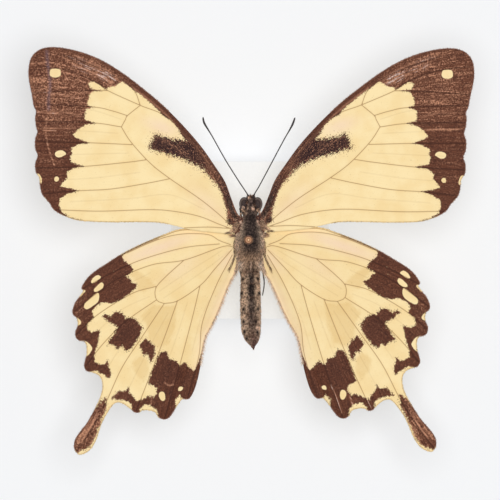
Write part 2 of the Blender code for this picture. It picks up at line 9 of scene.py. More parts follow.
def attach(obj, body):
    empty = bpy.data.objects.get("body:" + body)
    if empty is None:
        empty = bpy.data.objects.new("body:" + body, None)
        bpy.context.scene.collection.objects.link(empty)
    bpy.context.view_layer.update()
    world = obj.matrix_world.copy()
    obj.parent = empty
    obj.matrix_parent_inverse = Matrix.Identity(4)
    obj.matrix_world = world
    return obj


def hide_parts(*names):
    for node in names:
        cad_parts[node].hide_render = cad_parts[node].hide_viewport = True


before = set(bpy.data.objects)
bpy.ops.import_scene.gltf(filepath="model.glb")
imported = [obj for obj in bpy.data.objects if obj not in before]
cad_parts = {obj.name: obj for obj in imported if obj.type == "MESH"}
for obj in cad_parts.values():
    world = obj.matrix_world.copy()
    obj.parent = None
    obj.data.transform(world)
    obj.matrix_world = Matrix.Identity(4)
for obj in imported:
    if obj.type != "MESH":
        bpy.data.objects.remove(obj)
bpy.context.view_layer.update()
mm = 0.001  # every place and size below is in millimetres, and this turns it into metres
far = 1e6  # further than anything on the object
bothSides = (("left", -1.0), ("right", 1.0))
print("frame loaded")


# Node trees: any node comes from one method, and sums on a socket add Math nodes

class Value:
    def __init__(self, graph, socket):
        self.graph = graph
        self.socket = socket

    def out(self, key):
        return Value(self.graph, self.socket.node.outputs[key])

    def maths(self, operation, *others):
        return self.graph.node("ShaderNodeMath", {"operation": operation}, dict(enumerate((self, *others))))

    def reflected(self, operation, other):
        return self.graph.node("ShaderNodeMath", {"operation": operation}, {0: other, 1: self})

    def __add__(self, other):
        return self.maths("ADD", other)

    def __sub__(self, other):
        return self.maths("SUBTRACT", other)

    def __rsub__(self, other):
        return self.reflected("SUBTRACT", other)

    def __mul__(self, other):
        return self.maths("MULTIPLY", other)

    def __truediv__(self, other):
        return self.maths("DIVIDE", other)

    __radd__ = __add__
    __rmul__ = __mul__

    def above(self, low, high):
        # 0 below low, 1 above high, and a soft step between them
        return self.graph.node("ShaderNodeMapRange", {"interpolation_type": "SMOOTHSTEP"},
                               {0: self, 1: low, 2: high})

    def below(self, low, high):
        return 1.0 - self.above(low, high)


class Graph:
    def __init__(self, tree):
        self.tree = tree

    def node(self, kind, settings=None, inputs=None):
        made = self.tree.nodes.new(kind)
        for name, setting in (settings or {}).items():
            setattr(made, name, setting)
        for key, given in (inputs or {}).items():
            if isinstance(given, Value):
                self.tree.links.new(given.socket, made.inputs[key])
            else:
                made.inputs[key].default_value = given
        return Value(self, made.outputs[0]) if made.outputs else None

    def vector(self, operation, *parts, **named):
        inputs = {**dict(enumerate(parts)), **named}
        return self.node("ShaderNodeVectorMath", {"operation": operation}, inputs)


class Finish(Graph):
    def __init__(self, name):
        self.material = bpy.data.materials.new(name)
        self.material.use_nodes = True
        super().__init__(self.material.node_tree)
        self.shader = self.tree.nodes["Principled BSDF"]
        self.place = self.vector("SCALE", self.node("ShaderNodeTexCoord").out("Object"), Scale=1.0 / mm)

    def attribute(self, name, output="Fac"):
        return self.node("ShaderNodeAttribute", {"attribute_name": name}).out(output)

    def noise(self, scale, detail=2.0, roughness=0.5, place=None):
        return self.node("ShaderNodeTexNoise", {}, {"Vector": place or self.place, "Scale": scale,
                                                    "Detail": detail, "Roughness": roughness})

    def mix(self, factor, first, second, blend="MIX"):
        settings = {"data_type": "RGBA", "blend_type": blend}
        return self.node("ShaderNodeMix", settings, {0: factor, 6: first, 7: second}).out(2)

    def stretched(self, place, scales):
        return self.vector("MULTIPLY", place, scales)

    def finished(self, colour, roughness, height=None, bumpDistance=0.02, strength=0.6, **fixed):
        inputs = self.shader.inputs
        for name, value in (("Base Color", colour), ("Roughness", roughness)):
            if isinstance(value, Value):
                self.tree.links.new(value.socket, inputs[name])
            else:
                inputs[name].default_value = value
        if height is not None:
            bump = self.node("ShaderNodeBump", {}, {"Height": height, "Distance": bumpDistance * mm,
                                                    "Strength": strength})
            self.tree.links.new(bump.socket, inputs["Normal"])
        for name, value in fixed.items():
            inputs[name].default_value = value
        return self.material


def screen(red, green, blue):
    # a colour from 0 to 255 as a screen shows it, as the light values that the shader mixes
    shares = [part / 255.0 for part in (red, green, blue)]
    light = [share / 12.92 if share <= 0.04045 else ((share + 0.055) / 1.055) ** 2.4 for share in shares]
    return (*light, 1.0)


# Curves, distances and meshes

def smoothPath(points, step, closed=False):
    # points about one step apart on a smooth curve through the given ones
    given = [np.array(point, float) for point in points]
    count = len(given)
    path = []
    for index in range(count if closed else count - 1):
        if closed:
            before, start, end, after = (given[(index + offset) % count] for offset in (-1, 0, 1, 2))
        else:
            start, end = given[index], given[index + 1]
            before = given[index - 1] if index else 2.0 * start - end
            after = given[index + 2] if index + 2 < count else 2.0 * end - start
        pieces = max(1, round(float(np.linalg.norm(end - start)) / step))
        for piece in range(pieces):
            t = piece / pieces
            path.append(0.5 * (2.0 * start + (end - before) * t
                               + (2.0 * before - 5.0 * start + 4.0 * end - after) * t ** 2
                               + (3.0 * start - before - 3.0 * end + after) * t ** 3))
    if not closed:
        path.append(given[-1])
    return np.array(path)


def offsets(line):
    # unit vectors along a flat line and across it, to its right
    along = np.gradient(line, axis=0)
    along /= np.linalg.norm(along, axis=1)[:, None]
    return along, np.column_stack((along[:, 1], -along[:, 0]))


def chainDistance(points, chain, closed=False):
    # how far each point lies from a chain of straight pieces
    best = np.full(len(points), far)
    ends = np.roll(chain, -1, axis=0) if closed else chain[1:]
    for start, end in zip(chain, ends):
        along = end - start
        reach = np.clip(((points - start) @ along) / max(float(along @ along), 1e-9), 0.0, 1.0)
        gap = points - start - reach[:, None] * along
        best = np.minimum(best, (gap ** 2).sum(1))
    return np.sqrt(best)


def insideOutline(points, outline):
    inside = np.zeros(len(points), bool)
    for start, end in zip(outline, np.roll(outline, -1, axis=0)):
        if start[1] == end[1]:
            continue
        crosses = (start[1] > points[:, 1]) != (end[1] > points[:, 1])
        crossing = start[0] + (end[0] - start[0]) * (points[:, 1] - start[1]) / (end[1] - start[1])
        inside ^= crosses & (points[:, 0] < crossing)
    return inside


def signedDistance(points, outline):
    # how far inside a closed outline each point lies, below zero outside it
    return chainDistance(points, outline, True) * np.where(insideOutline(points, outline), 1.0, -1.0)


def nearestLine(points, lines):
    return np.min([chainDistance(points, line) for line in lines], axis=0)


def deepestIn(points, outlines):
    # how far inside any of the outlines each point lies, and far below zero where there is none
    depths = [signedDistance(points, outline) for outline in outlines]
    return np.max([np.full(len(points), -far), *depths], axis=0)


def softPlaces(points, places):
    # soft oval places, each (x, y, half length, half width, turn in degrees, strength)
    total = np.zeros(len(points))
    for x, y, length, width, turn, strength in places:
        angle = math.radians(turn)
        gap = points[:, :2] - (x, y)
        along = gap @ (math.cos(angle), math.sin(angle)) / length
        across = gap @ (-math.sin(angle), math.cos(angle)) / width
        total = np.maximum(total, strength * np.exp(-(along ** 2 + across ** 2)))
    return total


def pieceFrom(name, corners, faces, material=None):
    mesh = bpy.data.meshes.new(name)
    mesh.from_pydata((np.asarray(corners) * mm).tolist(), [], [list(face) for face in faces])
    mesh.update()
    mesh.shade_smooth()
    piece = bpy.data.objects.new(name, mesh)
    bpy.context.scene.collection.objects.link(piece)
    if material:
        mesh.materials.append(material)
    return piece


def store(piece, name, values):
    # one value, vector or colour for each of the piece's points
    values = np.asarray(values, np.float32)
    kinds = {1: ("FLOAT", "value"), 3: ("FLOAT_VECTOR", "vector"), 4: ("FLOAT_COLOR", "color")}
    kind, field = kinds[1 if values.ndim == 1 else values.shape[1]]
    layer = piece.data.attributes.new(name, kind, "POINT")
    layer.data.foreach_set(field, values.ravel())


def storeMap(piece, cornerPlaces):
    # the bake map, one place for each face's corner
    layer = piece.data.uv_layers.new(name="OFBake")
    layer.data.foreach_set("uv", np.asarray(cornerPlaces, np.float32).ravel())


def plainMesh(piece):
    # the evaluated shape as the object's own mesh, with no modifier left
    graph = bpy.context.evaluated_depsgraph_get()
    mesh = bpy.data.meshes.new_from_object(piece.evaluated_get(graph))
    piece.modifiers.clear()
    piece.data = mesh
    return piece


def sweptTube(name, path, radii, sides, material):
    # a closed tube along a path, with its own radius at each ring
    path = np.asarray(path, float)
    radii = np.asarray(radii, float)
    tangents = np.gradient(path, axis=0)
    tangents /= np.linalg.norm(tangents, axis=1)[:, None]
    side = np.cross(tangents[0], (0.0, 0.0, 1.0))
    if np.linalg.norm(side) < 0.1:
        side = np.array((1.0, 0.0, 0.0))
    corners = []
    for centre, tangent, radius in zip(path, tangents, radii):
        side = side - tangent * float(side @ tangent)
        side /= np.linalg.norm(side)
        up = np.cross(side, tangent)
        for index in range(sides):
            angle = 2.0 * math.pi * index / sides
            corners.append(centre + radius * (side * math.cos(angle) + up * math.sin(angle)))
    faces = []
    for ring in range(len(path) - 1):
        for index in range(sides):
            after = (index + 1) % sides
            low = ring * sides
            faces.append((low + index, low + sides + index, low + sides + after, low + after))
    first, last = len(corners), len(corners) + 1
    corners += [path[0], path[-1]]
    top = (len(path) - 1) * sides
    for index in range(sides):
        after = (index + 1) % sides
        faces.append((first, index, after))
        faces.append((last, top + after, top + index))
    return pieceFrom(name, corners, faces, material)


# Wings: shape, veins and markings of the right pair, which the left pair repeats with its own seat

wingForm = {
    "height": 25.7, "overlap": 1.1, "rise": 0.055, "riseFrom": 3.0, "tailFrom": -20.0, "tailDroop": 0.0016,
    "fold": 0.9, "foldWidth": 2.2, "foldFrom": 2.0, "foldSlope": 0.43, "foldEase": 4.0,
    "membrane": 0.16, "marginThickness": 0.07, "marginEase": 0.35, "veinRise": 0.085, "veinWidth": 0.15,
    "ripple": 0.05, "rippleWidth": 0.8, "spacing": 0.25, "edgeStep": 0.26, "veinStep": 0.28,
    "flanks": (0.15, 0.3), "clearance": 0.6,  # in spacings, from the even field to an edge or a flank
    "steps": {"net": 1.0, "vein": 0.5, "fold": 0.8, "streak": 0.8, "spot": 0.25, "flow": 1.0},
    "bandWidth": 4.0, "sideShift": 7.0, "mapMargin": 1.0, "rimPush": 0.4,
    "curls": {-1.0: 1.0, 1.0: 0.6},  # how much the worn scales curl, on the left and on the right
}
# where the left pair is set, as seen from the mirror image of the right pair
leftSeats = {"forewing": {"pivot": (3.2, 3.0), "shift": (0.15, -0.42), "turn": 1.15, "scale": 0.998,
                          "swing": (0.0, 0.0)},
             "hindwing": {"pivot": (3.2, -1.0), "shift": (0.14, 0.02), "turn": -2.0, "scale": 0.995,
                          "swing": (-0.7, 0.3)}}
tailSwing = {"from": -30.0, "length": 12.0}
levels = {"forewing": wingForm["overlap"] / 2.0, "hindwing": -wingForm["overlap"] / 2.0}

# Each plan has its outline and veins, the flow lines that its scales follow, folds, dark areas with how far
# their edges fray, pale spots, streaks (kind, side, width, strength, path), and soft places of wear and
# colour (x, y, half length, half width, turn in degrees, strength)
forewing = {
    "root": (2.0, 2.5),
    "outline": [
        (1.2, 4.5), (1.95, 5.2), (2.65, 6.2), (3.8, 9.0), (5.0, 12.0), (7.0, 15.0), (10.0, 19.1),
        (13.9, 23.4), (18.0, 27.3), (22.0, 30.5), (26.0, 33.4), (30.0, 35.75), (34.0, 37.3), (38.0, 38.15),
        (41.0, 38.2), (43.0, 37.5), (44.3, 36.0), (44.75, 34.0), (44.7, 32.0), (44.3, 30.0), (43.95, 28.4),
        (43.6, 26.5), (43.1, 25.4), (43.25, 24.2), (43.05, 22.4), (42.75, 21.2), (43.15, 19.8),
        (43.1, 17.9), (42.6, 16.5), (43.05, 15.0), (42.9, 13.2), (42.2, 12.15), (42.0, 10.4), (41.6, 8.9),
        (40.7, 7.75), (40.0, 7.0), (39.3, 5.9), (38.0, 5.0), (36.0, 4.2), (33.5, 3.65), (28.0, 3.5),
        (22.0, 3.65), (18.0, 3.6), (15.0, 3.05), (12.0, 2.35), (8.0, 1.9), (3.5, 1.6), (1.2, 1.5),
    ],
    "veins": [
        [(3.2, 4.0), (5.0, 9.0), (8.2, 15.0), (12.9, 21.0), (17.5, 25.1), (22.3, 27.0), (28.8, 29.8),
         (31.5, 31.6), (37.0, 33.7), (43.6, 34.6)],
        [(22.3, 27.0), (23.4, 29.7), (25.5, 31.6), (31.0, 34.4), (38.0, 36.7)],
        [(28.8, 29.8), (30.5, 29.8), (36.0, 29.6), (43.9, 29.0)],
        [(22.3, 27.0), (24.8, 24.9), (25.2, 24.1), (26.0, 22.6)],
        [(24.9, 24.9), (28.0, 25.8), (32.0, 26.5), (43.5, 26.9)],
        [(26.0, 22.6), (31.8, 23.3), (43.0, 23.4)],
        [(23.9, 19.1), (33.0, 19.3), (43.0, 19.3)],
        [(3.6, 3.2), (6.0, 5.4), (10.0, 8.5), (16.0, 12.4), (20.0, 15.4), (24.0, 19.6), (26.0, 22.6)],
        [(21.0, 16.1), (25.0, 15.5), (33.7, 14.5), (42.8, 14.0)],
        [(16.2, 12.4), (21.0, 11.35), (28.0, 10.1), (34.8, 9.6), (41.3, 8.9)],
        [(3.6, 2.7), (6.0, 3.5), (10.0, 5.0), (15.0, 5.9), (20.0, 6.15), (30.0, 5.65), (38.8, 5.75)],
        [(4.0, 2.7), (8.0, 2.9), (13.0, 2.65)],
    ],
    "flow": [
        [(0.6, 4.6), (2.9, 6.0), (5.0, 12.0), (10.0, 19.1), (18.0, 27.3), (26.0, 33.4), (34.0, 37.3),
         (46.0, 39.5)],
        [(2.6, 4.2), (5.0, 9.6), (8.2, 15.6), (12.9, 21.6), (17.5, 25.7), (22.3, 28.2), (25.5, 31.6),
         (31.0, 34.4), (38.0, 36.7), (46.0, 38.4)],
        [(3.2, 4.0), (5.0, 9.0), (8.2, 15.0), (12.9, 21.0), (17.5, 25.1), (22.3, 27.0), (28.8, 29.8),
         (31.5, 31.6), (37.0, 33.7), (47.0, 34.9)],
        [(3.3, 3.9), (5.3, 8.4), (8.8, 14.2), (13.6, 19.9), (18.4, 24.2), (22.8, 26.4), (28.6, 29.3),
         (36.0, 29.6), (47.0, 28.9)],
        [(3.4, 3.8), (6.0, 8.0), (11.0, 14.0), (17.0, 20.0), (22.0, 23.8), (28.0, 25.8), (32.0, 26.5),
         (47.0, 27.0)],
        [(3.5, 3.6), (8.0, 8.6), (15.0, 15.0), (21.0, 20.3), (26.0, 22.6), (31.8, 23.3), (47.0, 23.4)],
        [(3.6, 3.4), (9.0, 8.3), (16.0, 13.4), (23.9, 18.7), (33.0, 19.3), (47.0, 19.3)],
        [(3.6, 3.2), (10.0, 7.6), (16.0, 11.8), (21.0, 14.8), (25.0, 15.3), (33.7, 14.5), (47.0, 13.6)],
        [(3.6, 3.0), (10.0, 6.6), (16.2, 9.9), (21.0, 11.1), (28.0, 10.1), (47.0, 8.2)],
        [(3.6, 2.7), (10.0, 5.0), (20.0, 6.15), (30.0, 5.65), (45.0, 5.8)],
        [(1.2, 1.5), (12.0, 2.35), (22.0, 3.6), (45.0, 3.9)],
    ],
    "folds": [
        [(26.0, 24.1), (31.8, 25.8), (38.0, 26.0)],
        [(26.6, 21.3), (34.0, 21.6), (42.0, 21.4)],
        [(9.0, 6.4), (16.0, 9.2), (24.0, 8.3), (36.0, 7.4)],
        [(24.5, 17.4), (33.0, 17.0), (42.0, 16.6)],
        [(22.0, 13.6), (32.0, 12.2), (42.0, 11.6)],
    ],
    "dark": {
        "frontBand": {"fray": 0.36, "outline": [
            (0.0, 3.4), (4.2, 3.5), (4.6, 6.5), (5.5, 9.5), (6.9, 12.0), (9.0, 14.6), (10.9, 17.2),
            (12.7, 19.7), (14.5, 22.0), (8.0, 30.0), (0.0, 30.0)]},
        "border": {"fray": 0.22, "outline": [
            (0.0, 16.0), (10.0, 17.0), (12.7, 19.8), (13.6, 21.3), (15.0, 23.0), (16.0, 24.1), (17.8, 25.1),
            (18.5, 26.0), (21.5, 28.6), (24.0, 30.3), (25.8, 31.7), (26.5, 31.5), (27.2, 30.8),
            (28.8, 30.5), (29.0, 30.0), (29.5, 30.3), (31.5, 31.5), (32.4, 31.5), (32.8, 31.1),
            (32.2, 30.0), (30.0, 29.75), (32.1, 29.6), (32.6, 28.6), (33.0, 27.2), (32.8, 26.7),
            (31.6, 26.45), (33.1, 26.1), (33.4, 25.4), (33.2, 24.9), (33.5, 24.4), (33.2, 23.8),
            (31.2, 23.25), (33.2, 22.9), (34.7, 21.9), (35.6, 20.8), (35.2, 20.3), (34.5, 20.0),
            (32.4, 19.3), (34.3, 19.0), (35.8, 18.3), (36.0, 17.7), (35.7, 17.2), (36.1, 16.5),
            (36.1, 15.9), (35.8, 15.2), (33.2, 14.55), (35.5, 14.2), (36.9, 13.1), (36.6, 12.2),
            (37.7, 11.0), (37.9, 10.5), (37.2, 10.2), (34.2, 9.65), (36.2, 9.1), (38.0, 8.0), (38.2, 6.7),
            (37.6, 5.3), (36.0, 4.35), (33.5, 3.7), (33.5, 2.0), (50.0, 2.0), (50.0, 42.0), (0.0, 42.0)]},
        "root": {"fray": 0.3, "outline": [(0.0, 0.0), (2.8, 0.4), (3.0, 2.0), (3.3, 3.2), (4.4, 4.2),
                                          (0.0, 5.0)]},
        "bar": {"fray": 0.75, "outline": [
            (6.6, 11.4), (8.6, 13.6), (10.0, 14.9), (12.0, 15.8), (14.0, 16.7), (16.5, 17.3), (18.5, 17.9),
            (20.3, 18.4), (19.8, 19.8), (19.3, 20.9), (18.8, 21.3), (17.6, 20.6), (15.6, 20.3),
            (13.8, 20.1), (12.4, 20.6), (9.6, 17.4), (7.4, 14.2)]},
    },
    "pale": {
        "apical": [(38.35, 33.6), (38.6, 33.9), (39.4, 34.0), (40.2, 33.9), (40.5, 33.5), (40.5, 32.7),
                   (40.1, 32.3), (39.3, 32.2), (38.6, 32.4), (38.3, 32.8)],
        "middle": [(36.9, 17.0), (37.5, 17.6), (38.3, 17.65), (39.0, 17.3), (39.2, 16.8), (38.8, 16.3),
                   (38.0, 16.3), (37.4, 16.6)],
        "lower": [(38.2, 11.9), (38.45, 12.35), (38.9, 12.4), (39.2, 12.0), (39.1, 11.5), (38.6, 11.4)],
        "marginNotch": [(41.75, 11.0), (41.8, 12.2), (42.4, 12.9), (43.3, 12.6), (42.9, 11.0)],
        "lowerNotch": [(39.7, 6.3), (40.4, 7.5), (41.1, 8.3), (41.8, 8.0), (40.8, 5.8)],
    },
    "streaks": [
        ("rub", "both", 0.16, 0.85, [(7.6, 14.1), (10.2, 17.9), (14.5, 22.6), (20.0, 27.7), (28.0, 33.1),
                                     (33.0, 35.4)]),
        ("rub", "both", 0.12, 0.3, [(11.5, 16.0), (15.0, 18.6), (18.5, 20.6)]),
        ("rub", "both", 0.2, 0.6, [(28.0, 31.2), (31.5, 33.2), (36.0, 35.0)]),
        ("rub", "both", 0.1, 1.0, [(35.0, 22.15), (41.6, 22.05)]),
        ("rub", "both", 0.18, 0.5, [(34.2, 24.5), (38.0, 25.4), (41.0, 25.3)]),
        ("rub", "left", 0.1, 1.4, [(44.3, 34.9), (41.2, 35.2)]),
        ("rub", "left", 0.1, 1.4, [(44.0, 29.0), (41.1, 29.2), (34.0, 28.1)]),
        ("rub", "left", 0.1, 1.4, [(42.8, 25.2), (38.5, 25.0)]),
        ("rub", "left", 0.09, 1.3, [(41.7, 21.6), (39.1, 21.6)]),
        ("rub", "left", 0.08, 1.3, [(39.2, 34.7), (38.2, 34.1), (37.3, 32.6), (36.9, 31.8)]),
        ("rub", "left", 0.08, 1.3, [(41.0, 24.2), (41.0, 20.5), (40.3, 17.5), (39.2, 14.6)]),
        ("crease", "left", 0.32, 1.0, [(41.2, 37.4), (41.0, 35.3), (40.4, 31.0), (40.65, 28.2),
                                       (40.6, 25.8)]),
    ],
    "worn": [(38.0, 30.0, 9.5, 8.0, 0.0, 1.0), (3.6, 5.0, 3.0, 1.4, 72.0, 0.8),
             (29.2, 32.5, 3.6, 1.6, 32.0, 1.8), (33.5, 34.2, 5.0, 1.7, 18.0, 1.4),
             (35.0, 36.0, 6.5, 1.3, 14.0, 1.2), (7.0, 13.0, 6.0, 1.2, 62.0, 0.6),
             (35.0, 26.8, 3.5, 1.6, 15.0, 0.6), (36.0, 31.0, 5.0, 2.0, 10.0, 0.35),
             (9.0, 17.5, 7.0, 0.9, 58.0, 0.45), (15.0, 18.8, 3.5, 1.0, 25.0, 0.3),
             (40.0, 14.0, 3.0, 5.0, 0.0, 0.2), (4.6, 7.0, 4.0, 0.8, 72.0, 0.5)],
    "purple": [(14.5, 18.2, 7.5, 3.2, 20.0, 1.3), (4.2, 8.4, 7.0, 1.2, 70.0, 1.1),
               (2.3, 4.9, 1.6, 1.5, 45.0, 1.3)],
    "ochre": [(8.0, 9.5, 6.0, 1.2, 50.0, 0.35), (14.0, 10.5, 9.0, 0.6, 36.0, 0.3)],
    "fields": {},
    "pink": [(18.0, 22.8, 3.5, 1.5, 20.0, 0.8), (8.0, 7.0, 5.0, 2.0, 45.0, 0.5)],
}

